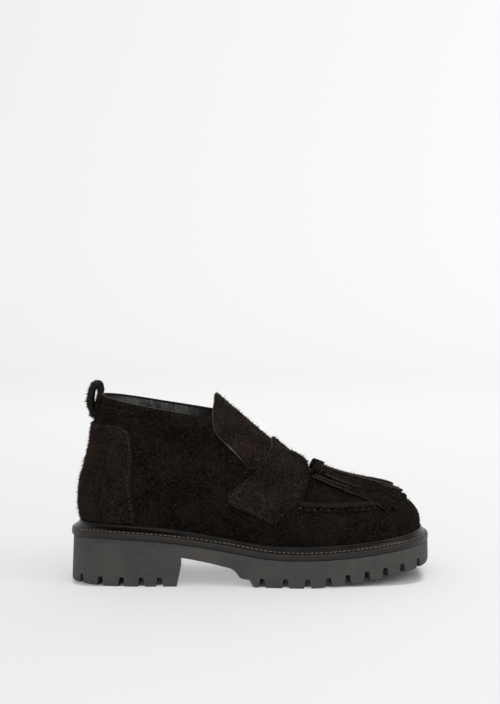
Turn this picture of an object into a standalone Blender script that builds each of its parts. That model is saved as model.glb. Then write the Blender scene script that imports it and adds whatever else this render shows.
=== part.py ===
"""Ankle loafer, a right shoe. One table of rings shapes the upper, one outline shapes the sole, and the welt,
the insole and every overlay are worked out from those two. Lengths are in millimetres until a mesh is made."""

import math

import bmesh
import bpy
import numpy as np

# Driving dimensions
LENGTH = 277.6  # outsole, heel to toe
OVERHANG = 1.3  # of the outsole past the bed, at the heel and at the toe
BALL_WIDTH = 101.0  # outsole at the ball
HEEL_WIDTH = 77.0  # outsole at the heel
WAIST_WIDTH = 80.0  # outsole at the waist
HEEL_LIFT = 45.5  # floor to the edge of the bed, at the heel
UPPER_HEIGHT = 96.0  # edge of the bed to the collar, at the back
WALL = 2.4  # upper with its lining
WELT_DROP = 4.6  # edge of the bed down to the outer edge of the welt
WELT_EDGE = 4.8  # height of the welt's outer edge
LUG_DEPTH = 6.8
SLOT_WIDTH = 5.6  # at the floor; a slot narrows upwards
SLOT_REACH = 15.0  # in from the outline
GROOVE_WIDTH = 5.2  # of the grooves across the tread, at the floor
GROOVE_DEPTH = 4.2
LONG_GROOVE_WIDTH = 4.8  # of the grooves along the tread, at the floor
LONG_GROOVE_DEPTH = 4.9
BELOW_FLOOR = 4.0  # how far a cutter reaches out of the rubber
CLEARANCE = 0.3  # between pieces
COUNTER_THICKNESS = 1.3
FLAP_THICKNESS = 2.0
STRAP_THICKNESS = 1.9
LOOP_WIDTH = 19.0
STRIP_WIDTH = 7.0
STRIP_THICKNESS = 1.7
TIE_HEIGHT = 6.0  # over the vamp, in the middle

AROUND = 60  # columns round the shoe
BED_LENGTH = LENGTH - 2 * OVERHANG
SIDE_HEIGHT = HEEL_LIFT + UPPER_HEIGHT
HEEL_RADIUS = 0.135 * LENGTH
TOE_RADIUS = 0.16 * LENGTH
LEDGE = 2.9  # the welt's inner ledge lies this far under the edge of the bed
LAP = 12.0  # how far the welt reaches in under the upper
OUT_OF_THE_WAY = 90.0  # half the width of a cutter that crosses the whole shoe

# Height of the edge of the bed: share of BED_LENGTH from the middle, share of HEEL_LIFT
BED = np.array(
    [
        (-0.50, 0.965),
        (-0.44, 1.000),
        (-0.36, 0.998),
        (-0.25, 0.952),
        (-0.14, 0.864),
        (-0.03, 0.750),
        (0.04, 0.686),
        (0.12, 0.664),
        (0.20, 0.674),
        (0.30, 0.703),
        (0.40, 0.748),
        (0.50, 0.800),
    ]
)

# The sole's centreline swings: share of BED_LENGTH from the middle, share of BALL_WIDTH to the wearer's left
SWING = np.array([(-0.50, 0.0), (-0.10, -0.028), (0.16, -0.02), (0.34, 0.018), (0.50, 0.062)])

# Half widths of the sole: share of LENGTH from the back, half width
OUTLINE = np.array(
    [
        (0.16, HEEL_WIDTH / 2),
        (0.42, WAIST_WIDTH / 2),
        (0.68, BALL_WIDTH / 2),
        (0.86, 0.885 * BALL_WIDTH / 2),
    ]
)

# Underside from the side: share of BED_LENGTH from the middle, share of HEEL_LIFT
UNDERSIDE = [
    (-0.203, 0.000),
    (-0.203, 0.400),
    (-0.200, 0.455),
    (-0.192, 0.478),
    (-0.165, 0.452),
    (-0.110, 0.384),
    (-0.055, 0.306),
    (-0.045, 0.270),
    (-0.037, 0.215),
    (-0.031, 0.160),
    (-0.022, 0.135),
    (-0.004, 0.122),
    (0.006, 0.020),
    (0.010, 0.000),
    (0.140, 0.000),
    (0.180, 0.008),
    (0.219, 0.026),
    (0.258, 0.058),
    (0.300, 0.086),
    (0.360, 0.128),
    (0.420, 0.167),
    (0.470, 0.202),
    (0.493, 0.222),
    (0.503, 0.270),
    (0.511, 0.420),
]

# Where the side lugs part, from the middle, as a share of BED_LENGTH
HEEL_SLOTS = (-0.470, -0.415, -0.355, -0.300, -0.250)
BALL_SLOTS = (0.031, 0.094, 0.154, 0.211, 0.264, 0.317, 0.369, 0.418, 0.467)

# Rings of the upper, from the bed to the collar and, last, the line that the tongue flap follows above it.
# back and front: share of BED_LENGTH. h: height over the bed as a share of UPPER_HEIGHT, and w: fullness as a share
# of BALL_WIDTH, both at the back, a quarter, a half and three quarters of the way along, and at the front.
RINGS = np.array(
    [
        # rise   back    front   h0     h25    h50    h75    h100   w0    w25   w50   w75   w100
        (0.00, -0.473, 0.478, -0.027, -0.027, -0.027, -0.027, -0.027, 0.640, 0.360, 0.366, 0.515, 0.700),
        (0.08, -0.480, 0.480, 0.130, 0.132, 0.146, 0.120, 0.078, 0.668, 0.400, 0.412, 0.535, 0.715),
        (0.17, -0.479, 0.464, 0.235, 0.247, 0.253, 0.200, 0.177, 0.658, 0.410, 0.420, 0.522, 0.690),
        (0.27, -0.475, 0.430, 0.329, 0.345, 0.356, 0.288, 0.261, 0.632, 0.406, 0.410, 0.474, 0.640),
        (0.39, -0.465, 0.357, 0.422, 0.440, 0.434, 0.383, 0.338, 0.590, 0.396, 0.384, 0.398, 0.400),
        (0.53, -0.456, 0.255, 0.515, 0.530, 0.516, 0.493, 0.427, 0.532, 0.378, 0.368, 0.392, 0.335),
        (0.67, -0.447, 0.152, 0.617, 0.631, 0.604, 0.622, 0.566, 0.473, 0.358, 0.348, 0.380, 0.318),
        (0.84, -0.440, 0.051, 0.760, 0.764, 0.724, 0.758, 0.774, 0.412, 0.334, 0.330, 0.366, 0.338),
        (1.00, -0.417, -0.036, 0.997, 0.953, 0.927, 0.925, 0.956, 0.358, 0.326, 0.318, 0.355, 0.325),
        (1.18, -0.396, -0.104, 1.200, 1.145, 1.115, 1.120, 1.088, 0.350, 0.326, 0.318, 0.350, 0.325),
    ]
)
SEAM = 0.27  # the ring that the apron's seam follows
INNER_RISES = (1.0, 0.88, 0.74, 0.60, 0.46, 0.34, 0.22, 0.12, 0.04, 0.0)
RIDGE_HEIGHT = 1.5
RIDGE_WIDTH = 7.5

# Lines of the wall: rise, millimetres on from it, share of the ridge's height
LINES = [
    (0.00, 0.0, 0.0),
    (0.05, 0.0, 0.0),
    (0.11, 0.0, 0.0),
    (0.17, 0.0, 0.0),
    (0.225, 0.0, 0.0),
    (SEAM, -0.8, -0.35),
    (SEAM, 0.6, 0.75),
    (SEAM, 0.45 * RIDGE_WIDTH, 1.0),
    (SEAM, RIDGE_WIDTH, 0.0),
    (0.40, 0.0, 0.0),
    (0.48, 0.0, 0.0),
    (0.57, 0.0, 0.0),
    (0.66, 0.0, 0.0),
    (0.75, 0.0, 0.0),
    (0.84, 0.0, 0.0),
    (0.92, 0.0, 0.0),
    (1.00, 0.0, 0.0),
    (1.06, 0.0, 0.0),
    (1.12, 0.0, 0.0),
    (1.19, 0.0, 0.0),
]

# Side outlines of the overlays: share of BED_LENGTH from the middle, share of SIDE_HEIGHT over the floor
COUNTER_OUTLINE = [
    (-0.60, 0.8551),
    (-0.430, 0.8551),
    (-0.405, 0.8590),
    (-0.372, 0.8551),
    (-0.345, 0.8396),
    (-0.331, 0.8124),
    (-0.327, 0.7541),
    (-0.322, 0.6996),
    (-0.329, 0.5636),
    (-0.326, 0.4606),
    (-0.315, 0.3634),
    (-0.312, 0.1943),
    (-0.60, 0.1943),
]
FLAP_OUTLINE = [
    (-0.0935, 1.1661),
    (-0.0935, 0.9912),
    (-0.0965, 0.9484),
    (-0.0980, 0.8843),
    (-0.0955, 0.8415),
    (-0.0870, 0.8046),
    (-0.0731, 0.7745),
    (-0.0509, 0.7424),
    (-0.0316, 0.7004),
    (-0.0124, 0.6569),
    (0.0124, 0.6134),
    (0.036, 0.5889),
    (0.070, 0.5753),
    (0.098, 0.5908),
    (0.107, 0.6219),
    (0.107, 1.1661),
]
STRAP_OUTLINE = [
    (0.0645, 1.0106),
    (0.0658, 0.7463),
    (0.0596, 0.7181),
    (0.0429, 0.6715),
    (0.0207, 0.6211),
    (-0.0015, 0.5873),
    (-0.0287, 0.5442),
    (-0.0530, 0.5082),
    (-0.0612, 0.4859),
    (-0.0610, 0.4664),
    (-0.0560, 0.4495),
    (-0.0342, 0.4305),
    (-0.0015, 0.3986),
    (0.0313, 0.3632),
    (0.0480, 0.3469),
    (0.0600, 0.3424),
    (0.0730, 0.3479),
    (0.0833, 0.3632),
    (0.1080, 0.4112),
    (0.1302, 0.4509),
    (0.1498, 0.4997),
    (0.1615, 0.5533),
    (0.1640, 0.5753),
    (0.1600, 0.5947),
    (0.1465, 0.6254),
    (0.1309, 0.6481),
    (0.1130, 0.6820),
    (0.1120, 1.0106),
]
TIE_OUTLINE = [
    (0.1145, 1.0106),
    (0.1155, 0.6860),
    (0.1330, 0.6530),
    (0.1480, 0.6307),
    (0.1625, 0.5976),
    (0.1700, 0.5947),
    (0.1730, 0.6413),
    (0.1600, 1.0106),
]

# Pull loop in section: rise along the back, distance out from it
LOOP_OUTER = [
    (0.885, 0.4),
    (0.940, 0.4),
    (1.000, 0.4),
    (1.038, 1.2),
    (1.066, 3.6),
    (1.074, 6.8),
    (1.052, 9.2),
    (0.985, 9.9),
    (0.945, 8.6),
    (0.918, 6.3),
    (0.900, 4.6),
    (0.885, 3.7),
]
LOOP_INNER = [
    (0.915, 2.5),
    (0.940, 2.5),
    (1.000, 2.6),
    (1.020, 3.1),
    (1.038, 4.5),
    (1.043, 5.8),
    (1.030, 7.0),
    (0.985, 7.5),
    (0.958, 6.6),
    (0.938, 5.0),
    (0.925, 3.7),
    (0.916, 2.9),
]

# Strips of a tassel: turn from the ridge at each end, rise at the tip, height over the vamp at each end, tilt
STRIPS = [
    # start   end    tip     low    high   tilt
    (0.080, 0.092, 0.232, 2.6, 3.2, 8.0),
    (0.074, 0.070, 0.222, 3.0, 3.4, -4.0),
    (0.060, 0.048, 0.240, 2.8, 3.4, 5.0),
    (0.052, 0.026, 0.252, 3.2, 3.8, -6.0),
    (0.070, 0.058, 0.250, 5.2, 5.8, 24.0),
    (0.058, 0.034, 0.325, 5.8, 7.0, 10.0),
]
HEAD_TURN = 0.066
HEAD_RISE = 0.580
HEAD_LENGTH = 9.5
HEAD_RADIUS = 4.5


def spline(knots, values, at, flat=False):
    """A cubic through the knots, one column of values for each place; flat makes both ends level."""
    gaps = np.diff(knots)[:, None]
    slopes = np.diff(values, axis=0) / gaps
    matrix = np.eye(len(knots))
    right = np.zeros(values.shape)
    for i in range(1, len(knots) - 1):
        before, after = gaps[i - 1, 0], gaps[i, 0]
        matrix[i, i - 1 : i + 2] = before, 2 * (before + after), after
        right[i] = 6 * (slopes[i] - slopes[i - 1])
    if flat:
        matrix[0, :2] = 2 * gaps[0, 0], gaps[0, 0]
        matrix[-1, -2:] = gaps[-1, 0], 2 * gaps[-1, 0]
        right[0] = 6 * slopes[0]
        right[-1] = -6 * slopes[-1]
    bends = np.linalg.solve(matrix, right)
    i = np.clip(np.searchsorted(knots, at) - 1, 0, len(knots) - 2)
    column = np.arange(len(at))
    gap = gaps[i, 0]
    before = (knots[i + 1] - at) / gap
    after = 1 - before
    curve = (before**3 - before) * bends[i, column] + (after**3 - after) * bends[i + 1, column]
    return before * values[i, column] + after * values[i + 1, column] + curve * gap**2 / 6


def along(table, at, flat=False):
    """A two-column table read as a smooth curve, for places of any shape."""
    at = np.asarray(at, float)
    places = at.ravel()
    values = np.repeat(table[:, 1:2], len(places), axis=1)
    return spline(table[:, 0], values, places, flat).reshape(at.shape)


def bed(x):
    return HEEL_LIFT * along(BED, np.clip(x / BED_LENGTH, -0.5, 0.5))


def swing(x):
    return BALL_WIDTH * along(SWING, np.clip(x / BED_LENGTH, -0.5, 0.5)) - OFF_CENTRE


def sole_edge(turn):
    """The sole's outline: turn 0 at the back, 0.25 on the outer side, 0.5 at the toe."""
    angle = 2 * math.pi * np.asarray(turn, float)
    folded = np.arccos(np.cos(angle))
    stations = np.arccos(1 - 2 * OUTLINE[:, 0])
    ends = np.sqrt(np.array([HEEL_RADIUS, TOE_RADIUS]) * LENGTH / 2)
    knots = np.concatenate([[0.0], stations, [math.pi]])
    fulls = np.concatenate([ends[:1], OUTLINE[:, 1] / np.sin(stations), ends[1:]])
    full = along(np.stack([knots, fulls], axis=1), folded, flat=True)
    x = -LENGTH / 2 * np.cos(angle)
    return np.stack([x, swing(x) - full * np.sin(angle)], axis=-1)


def outline(turn, inset=0.0):
    """The sole's outline moved in by inset, and the outward direction there."""
    step = 1e-4
    ahead = sole_edge(turn + step) - sole_edge(turn - step)
    outward = np.stack([ahead[..., 1], -ahead[..., 0]], axis=-1)
    outward /= np.linalg.norm(outward, axis=-1, keepdims=True)
    return sole_edge(turn) - outward * np.asarray(inset)[..., None], outward


def surface(turn, rise):
    """The upper's outer surface."""
    turn, rise = np.broadcast_arrays(np.asarray(turn, float), np.asarray(rise, float))
    angle = 2 * math.pi * turn.ravel()
    folded = np.arccos(np.cos(angle))
    rows = [along(RINGS[:, [0, column]], rise.ravel()) for column in range(1, RINGS.shape[1])]
    back, front = BED_LENGTH * rows[0], BED_LENGTH * rows[1]
    knots = np.radians([0.0, 60.0, 90.0, 120.0, 180.0])
    height = UPPER_HEIGHT * spline(knots, np.stack(rows[2:7]), folded, flat=True)
    full = BALL_WIDTH * spline(knots, np.stack(rows[7:12]), folded, flat=True)
    x = back + (front - back) * (1 - np.cos(angle)) / 2
    y = swing(x) - full * np.sin(angle)
    return np.stack([x, y, bed(x) + height], axis=-1).reshape(turn.shape + (3,))


def upper_point(turn, rise, depth=0.0):
    """A point of the upper, depth in from its outer surface, or out from it where depth is negative."""
    step = 2e-3
    along_ring = surface(turn + step, rise) - surface(turn - step, rise)
    up = surface(turn, rise + step) - surface(turn, rise - step)
    normal = np.cross(along_ring, up)
    normal /= np.linalg.norm(normal, axis=-1, keepdims=True)
    return surface(turn, rise) - normal * np.asarray(depth)[..., None]


def smooth_step(value):
    value = np.clip(value, 0, 1)
    return value * value * (3 - 2 * value)


def material(name, colour, roughness):
    made = bpy.data.materials.new(name)
    made.use_nodes = True
    shader = made.node_tree.nodes["Principled BSDF"]
    shader.inputs["Base Color"].default_value = (*colour, 1)
    shader.inputs["Roughness"].default_value = roughness
    return made


def solid(name, points, faces, look=None):
    """A closed mesh with its faces turned outwards. Without a look it is a cutter, kept out of the render."""
    mesh = bpy.data.meshes.new(name)
    mesh.from_pydata((np.asarray(points) / 1000).tolist(), [], faces)
    shape = bmesh.new()
    shape.from_mesh(mesh)
    if shape.calc_volume(signed=True) < 0:
        bmesh.ops.reverse_faces(shape, faces=shape.faces)
    shape.to_mesh(mesh)
    shape.free()
    made = bpy.data.objects.new(name, mesh)
    if look is None:
        made.hide_render = True
        made.display_type = "WIRE"
        cutters.objects.link(made)
    else:
        mesh.materials.append(look)
        bpy.context.scene.collection.objects.link(made)
    return made


def cap(count, shift):
    """Faces that cross a loop, from one side to the point that pairs with it on the other."""
    faces = []
    for j in range(count // 2):
        corners = [j, j + 1, (shift - j - 1) % count, (shift - j) % count]
        corners = list(dict.fromkeys(corners))
        if len(corners) > 2:
            faces.append(corners)
    return faces


def loft(loops, closed=False, shift=0, split=False):
    """Points and faces through loops of equal length; closed joins the last loop to the first, and otherwise
    both ends are capped. Split parts every quad along the same diagonal, so that two grids can lie close."""
    loops = np.asarray(loops)
    count, size = loops.shape[:2]
    faces = []
    for i in range(count if closed else count - 1):
        for j in range(size):
            low, high = i * size, (i + 1) % count * size
            near, far = low + (j + 1) % size, high + (j + 1) % size
            if split:
                faces += [[low + j, near, far], [low + j, far, high + j]]
            else:
                faces.append([low + j, near, far, high + j])
    if not closed:
        first = cap(size, shift)
        faces += [face[::-1] for face in first]
        faces += [[(count - 1) * size + corner for corner in face] for face in first]
    return loops.reshape(-1, 3), faces


def cut(made, other, operation):
    modifier = made.modifiers.new(other.name, "BOOLEAN")
    modifier.operation = operation
    modifier.solver = "EXACT"
    modifier.object = other


def prism(name, shape, half_width=OUT_OF_THE_WAY):
    """A side outline drawn out to both sides."""
    ring = np.array(shape, float)
    count = len(ring)
    near = np.stack([ring[:, 0], np.full(count, -half_width), ring[:, 1]], axis=1)
    far = near * (1, -1, 1)
    faces = [list(range(count)), list(range(2 * count - 1, count - 1, -1))]
    faces += [[i, i + count, (i + 1) % count + count, (i + 1) % count] for i in range(count)]
    return solid(name, np.concatenate([near, far]), faces)


def wall_lines(turn, lines):
    """The rises of the named lines of the wall, at each turn."""
    pace = np.linalg.norm(surface(turn, SEAM + 0.01) - surface(turn, SEAM - 0.01), axis=-1) / 0.02
    return np.stack([rise + on / pace for rise, on, _ in lines], axis=-1)


def ridge(turn, lines):
    """How far the apron's rolled seam stands out, at each turn and line; it fades out under the strap."""
    forward = surface(turn, SEAM)[..., 0] / BED_LENGTH
    gate = smooth_step((forward - 0.132) / 0.018)
    return RIDGE_HEIGHT * gate[:, None] * np.array([share for _, _, share in lines])


def overlay(name, first_turn, last_turn, low, high, inner, outer, shape, look):
    """A panel between two forms of the upper, cut to its side outline. It has the wall's own columns and lines,
    so its flats lie along the wall's."""
    turn = np.arange(round(first_turn * AROUND), round(last_turn * AROUND) + 1) / AROUND
    lines = [line for line in LINES if low <= line[0] <= high]
    rise = wall_lines(turn, lines)
    stand_off = np.maximum(ridge(turn, lines), 0)
    turn = np.broadcast_to(turn[:, None], rise.shape)
    under = upper_point(turn, rise, -inner(turn, rise) - stand_off)
    over = upper_point(turn, rise, -outer(turn, rise) - stand_off)
    made = solid(name, *loft(np.concatenate([under, over[:, ::-1]], axis=1), shift=-1, split=True), look)
    cut(made, prism(name + "_outline", np.array(shape) * (BED_LENGTH, SIDE_HEIGHT)), "INTERSECT")
    return made


def joined(shapes):
    """Several closed shapes as one list of points and one of faces."""
    points, faces, start = [], [], 0
    for some_points, some_faces in shapes:
        fan = [some_points[[face[0], face[i], face[i + 1]]] for face in some_faces for i in range(1, len(face) - 1)]
        if np.linalg.det(np.array(fan)).sum() < 0:
            some_faces = [face[::-1] for face in some_faces]
        points.append(some_points)
        faces += [[corner + start for corner in face] for face in some_faces]
        start += len(some_points)
    return np.concatenate(points), faces


def level(points, height):
    return np.concatenate([points, height[:, None]], axis=1)


bpy.data.batch_remove([*bpy.data.objects])
cutters = bpy.data.collections.new("cutters")
cutters.hide_render = True
bpy.context.scene.collection.children.link(cutters)

suede = material("suede", (0.013, 0.009, 0.007), 0.95)
suede_tassel = material("suede_tassel", (0.013, 0.009, 0.007), 0.95)
welt_leather = material("welt_leather", (0.028, 0.022, 0.018), 0.5)
sole_rubber = material("sole_rubber", (0.055, 0.052, 0.048), 0.6)
sock_leather = material("sock_leather", (0.012, 0.012, 0.012), 0.5)

turns = np.arange(AROUND) / AROUND
OFF_CENTRE = 0.0
fine = sole_edge(np.linspace(0, 1, 721))
OFF_CENTRE = float(fine[:, 1].max() + fine[:, 1].min()) / 2

# Outsole, raised in the middle to fill the welt
edge, _ = outline(turns)
low = surface(turns, 0.0)
high = surface(turns, 0.02)
out = edge - low[:, :2]
out = out / np.linalg.norm(out, axis=1, keepdims=True)
plateau = low[:, :2] - (LAP + 0.4) * out
top = bed(edge[:, 0]) - WELT_DROP - WELT_EDGE - CLEARANCE
flare = 0.4 + 1.1 * smooth_step(-edge[:, 0] / (0.25 * LENGTH))
loops = [
    level(edge, np.full(AROUND, -0.2 * HEEL_LIFT)),
    level(edge, np.full(AROUND, 0.06 * HEEL_LIFT)),
    level(outline(turns, flare)[0], top - 1.4),
    level(outline(turns, flare + 0.8)[0], top),
    level(plateau, bed(plateau[:, 0]) - WELT_DROP - WELT_EDGE - CLEARANCE),
    level(plateau, bed(plateau[:, 0]) - LEDGE),
]
outsole = solid("outsole", *loft(loops), sole_rubber)
profile = BED_LENGTH * np.array([x for x, _ in UNDERSIDE])
heights = HEEL_LIFT * np.array([z for _, z in UNDERSIDE])
below = [(-0.7 * LENGTH, 0), *zip(profile, heights), (0.7 * LENGTH, heights[-1]), (0.7 * LENGTH, -HEEL_LIFT)]
cut(outsole, prism("underside", [*below, (-0.7 * LENGTH, -HEEL_LIFT)]), "DIFFERENCE")

slots, grooves = [], []
for share in HEEL_SLOTS + BALL_SLOTS:
    turn = math.acos(-2 * share * BED_LENGTH / LENGTH) / (2 * math.pi)
    inner_ends = []
    floor = float(np.interp(BED_LENGTH * share, profile, heights)) if share > 0 else 0.0
    for place in (turn, 1 - turn):
        point, outward = outline(np.array([place]))
        point, outward = point[0], outward[0]
        across = np.array([-outward[1], outward[0]])
        inner_ends.append(point - (SLOT_REACH - 0.5) * outward)
        loops = []
        for reach in (BELOW_FLOOR, -SLOT_REACH):
            middle = point + reach * outward
            section = []
            for side, height in ((-0.62, -BELOW_FLOOR), (0.62, -BELOW_FLOOR), (0.29, LUG_DEPTH), (-0.29, LUG_DEPTH)):
                section.append([*(middle + side * SLOT_WIDTH * across), floor + height])
            loops.append(section)
        slots.append(loft(loops, shift=-1))
    if abs(share) > 0.45:
        continue
    loops = []
    for side in (-1, 1):
        near_end, far_end = inner_ends
        middle = (near_end + far_end) / 2
        end = middle + (far_end - near_end) / 2 * side
        section = []
        for shift, height in ((-0.5, -BELOW_FLOOR), (0.5, -BELOW_FLOOR), (0.35, GROOVE_DEPTH), (-0.35, GROOVE_DEPTH)):
            section.append([end[0] + shift * GROOVE_WIDTH, end[1], floor + height])
        loops.append(section)
    grooves.append(loft(loops, shift=-1))
cut(outsole, solid("slots", *joined(slots)), "DIFFERENCE")
cut(outsole, solid("cross_grooves", *joined(grooves)), "DIFFERENCE")

strips = []
for first, last in ((-0.432, -0.235), (0.016, 0.400)):
    for side in (-1, 1):
        shares = np.linspace(first, last, 9)
        place = np.arccos(-2 * shares * BED_LENGTH / LENGTH) / (2 * math.pi)
        place = place if side < 0 else 1 - place
        point, outward = outline(place, SLOT_REACH + 2.0 + 0 * place)
        floor = np.where(shares > 0, np.interp(BED_LENGTH * shares, profile, heights), 0)
        loops = []
        for reach, height in (
            (-0.5, -BELOW_FLOOR),
            (0.5, -BELOW_FLOOR),
            (0.35, LONG_GROOVE_DEPTH),
            (-0.35, LONG_GROOVE_DEPTH),
        ):
            loops.append(level(point + reach * LONG_GROOVE_WIDTH * outward, floor + height))
        strips.append(loft(np.stack(loops, axis=1), shift=-1))
cut(outsole, solid("long_grooves", *joined(strips)), "DIFFERENCE")

# Welt, with the bead that closes it against the upper
rim = bed(edge[:, 0])
seat = bed(low[:, 0])
bottom = rim - WELT_DROP - WELT_EDGE
flat_inside = low[:, :2] - LAP * out
inside_bed = bed(flat_inside[:, 0])
loops = [
    level(flat_inside, inside_bed - WELT_DROP - WELT_EDGE),
    level(edge - 0.4 * out, bottom),
    level(edge - 0.1 * out, bottom + 0.6),
    level(edge - 0.1 * out, rim - WELT_DROP - 0.7),
    level(edge - 0.7 * out, rim - WELT_DROP),
    level(high[:, :2] + 2.3 * out, seat - 1.5),
    level(high[:, :2] + 2.0 * out, seat - 0.1),
    level(high[:, :2] + 1.2 * out, seat + 0.7),
    level(high[:, :2] + 0.4 * out, seat + 0.1),
    level(low[:, :2] + 0.35 * out, seat - LEDGE),
    level(flat_inside, inside_bed - LEDGE),
]
welt = solid("welt", *loft(loops, closed=True), welt_leather)

# Insole, over the welt's ledge and the middle of the outsole
foot = upper_point(turns, 0 * turns, WALL)[:, :2] - 0.6 * out
side = upper_point(turns, 0 * turns + 0.015, WALL)[:, :2] - 0.9 * out
loops = [
    level(foot, bed(foot[:, 0]) - LEDGE + CLEARANCE),
    level(foot, bed(foot[:, 0]) - LEDGE + CLEARANCE + 1.2),
    level(side, bed(side[:, 0]) + 1.2),
    level(side - 0.9 * out, bed(side[:, 0]) + 1.9),
]
insole = solid("insole", *loft(loops), sock_leather)

# Upper: one wall, with the apron's rolled seam raised on it
wall = [line for line in LINES if line[0] <= 1.0]
loops = [*np.moveaxis(upper_point(turns[:, None], wall_lines(turns, wall), -ridge(turns, wall)), 1, 0)]
loops += [upper_point(turns, 0 * turns + rise, WALL) for rise in INNER_RISES]
upper = solid("upper", *loft(loops, closed=True, split=True), suede)

# Heel counter, tongue flap, saddle strap and tie
lift = CLEARANCE + FLAP_THICKNESS


def strap_floor(turn, rise):
    """The strap lies on the vamp at its ends and rides over the flap on top."""
    height = surface(turn, rise)[..., 2] / SIDE_HEIGHT
    return 2.0 * CLEARANCE + lift * smooth_step((height - 0.486) / 0.054)


counter_shape = [(x, z) for x, z in COUNTER_OUTLINE[:-2]]
counter_low = np.linspace(COUNTER_OUTLINE[-2][0], -0.50, 8)
counter_shape += [(x, float(bed(np.array(x * BED_LENGTH)) + 1.3) / SIDE_HEIGHT) for x in counter_low]
counter_shape += [(-0.60, counter_shape[-1][1])]
counter = overlay(
    "heel_counter",
    -0.22,
    0.22,
    0.0,
    0.92,
    lambda turn, rise: CLEARANCE + 0 * turn,
    lambda turn, rise: CLEARANCE + COUNTER_THICKNESS + 0 * turn,
    counter_shape,
    suede,
)
flap = overlay(
    "tongue_flap",
    0.25,
    0.75,
    0.48,
    1.19,
    lambda turn, rise: CLEARANCE + 0 * turn,
    lambda turn, rise: CLEARANCE + FLAP_THICKNESS + 0 * turn,
    FLAP_OUTLINE,
    suede,
)
strap = overlay(
    "saddle_strap",
    0.20,
    0.80,
    0.11,
    0.92,
    strap_floor,
    lambda turn, rise: strap_floor(turn, rise) + STRAP_THICKNESS,
    STRAP_OUTLINE,
    suede,
)
tie = overlay(
    "tassel_tie",
    0.406,
    0.594,
    0.57,
    0.84,
    lambda turn, rise: CLEARANCE + 0 * turn,
    lambda turn, rise: TIE_HEIGHT * (1 - 18 * (turn - 0.5) ** 2) + 0 * rise,
    TIE_OUTLINE,
    suede,
)

# Pull loop
spread = LOOP_WIDTH / 2 / (BALL_WIDTH * 0.358) / (2 * math.pi) * np.linspace(-1, 1, 5)
loops = []
for shift in spread:
    rings = []
    for table in (LOOP_OUTER, LOOP_INNER):
        rise, away = np.array(table).T
        rings.append(upper_point(0 * rise + shift, rise, -away))
    loops.append(rings)
loops = np.array(loops)
size = len(LOOP_OUTER)
points = loops.reshape(-1, 3)
faces = []
for i in range(len(spread)):
    start = i * 2 * size
    for j in range(size):
        a, b = start + j, start + (j + 1) % size
        if i < len(spread) - 1:
            faces.append([a, b, b + 2 * size, a + 2 * size])
            faces.append([b + size, a + size, a + 3 * size, b + 3 * size])
        if i == 0:
            faces.append([b, a, a + size, b + size])
        if i == len(spread) - 1:
            faces.append([a, b, b + size, a + size])
pull_loop = solid("pull_loop", points, faces, suede)


def frame_at(turn, rise, depth):
    """A point over the vamp with the directions forward, across and out."""
    point = upper_point(turn, rise, depth)
    normal = upper_point(turn, rise, depth - 1.0) - point
    normal /= np.linalg.norm(normal, axis=-1, keepdims=True)
    ahead = np.gradient(point, axis=0)
    ahead /= np.linalg.norm(ahead, axis=-1, keepdims=True)
    across = np.cross(normal, ahead)
    return point, ahead, across, normal


def tassel(name, side, shorten):
    """A rolled head with flat strips fused into it."""
    parts = bpy.data.collections.new(name + "_strips")
    parts.hide_render = True
    bpy.context.scene.collection.children.link(parts)
    for number, (start, end, tip, low_end, high_end, tilt) in enumerate(STRIPS):
        steps = np.linspace(0, 1, 7)
        turn = 0.5 - side * (start + (end - start) * steps)
        rise = HEAD_RISE + 0.004 + (tip + shorten * (number % 3 - 1) - HEAD_RISE) * steps
        height = low_end + (high_end - low_end) * steps**0.7 + 0.25 * number * (1 - steps)
        point, ahead, across, normal = frame_at(turn, rise, -height)
        lean = np.radians(side * tilt * steps)[:, None]
        wide = np.cos(lean) * across + np.sin(lean) * normal
        thick = np.cross(ahead, wide)
        half = STRIP_WIDTH / 2 * (0.62 + 0.38 * smooth_step(steps * 2.5))[:, None]
        corners = []
        for x, y in ((-1, -1), (1, -1), (1, 1), (-1, 1)):
            corners.append(point + x * half * wide + y * STRIP_THICKNESS / 2 * thick)
        strip = solid(f"{name}_strip_{number}", *loft(np.stack(corners, axis=1), shift=-1))
        cutters.objects.unlink(strip)
        parts.objects.link(strip)
    steps = np.linspace(0, 1, 5)
    point, ahead, across, normal = frame_at(
        0.5 - side * (HEAD_TURN - 0.008 * steps), HEAD_RISE + 0.01 - 0.17 * steps, -(4.6 + 0.6 * steps)
    )
    loops = []
    for x, y in ((-1, -1), (1, -1), (1, 1), (-1, 1)):
        half = (5.6 + 1.2 * steps)[:, None]
        loops.append(point + x * half * across + y * (3.0 - 1.6 * steps)[:, None] * normal)
    core = solid(name + "_core", *loft(np.stack(loops, axis=1), shift=-1))
    cutters.objects.unlink(core)
    parts.objects.link(core)
    base = np.array([0.0, 1.0])
    turn = 0.5 - side * HEAD_TURN + 0 * base
    rise = HEAD_RISE + 0.030 - 0.09 * base
    point, ahead, across, normal = frame_at(turn, rise, -(HEAD_RADIUS + 0.6) + 0 * base)
    loops = []
    for place, swell in ((-0.5, 0.86), (-0.42, 1.0), (0.2, 1.0), (0.5, 0.93)):
        angles = np.linspace(0, 2 * math.pi, 12, endpoint=False)[:, None]
        ring = np.cos(angles) * across[0] * 1.12 + np.sin(angles) * normal[0]
        loops.append(point[0] + (place + 0.5) * HEAD_LENGTH * ahead[0] + swell * HEAD_RADIUS * ring)
    made = solid(name, *loft(loops), suede_tassel)
    modifier = made.modifiers.new("strips", "BOOLEAN")
    modifier.operation = "UNION"
    modifier.solver = "EXACT"
    modifier.operand_type = "COLLECTION"
    modifier.collection = parts
    return made


tassel("tassel_outer", 1, 0.006)
tassel("tassel_inner", -1, -0.006)
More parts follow.
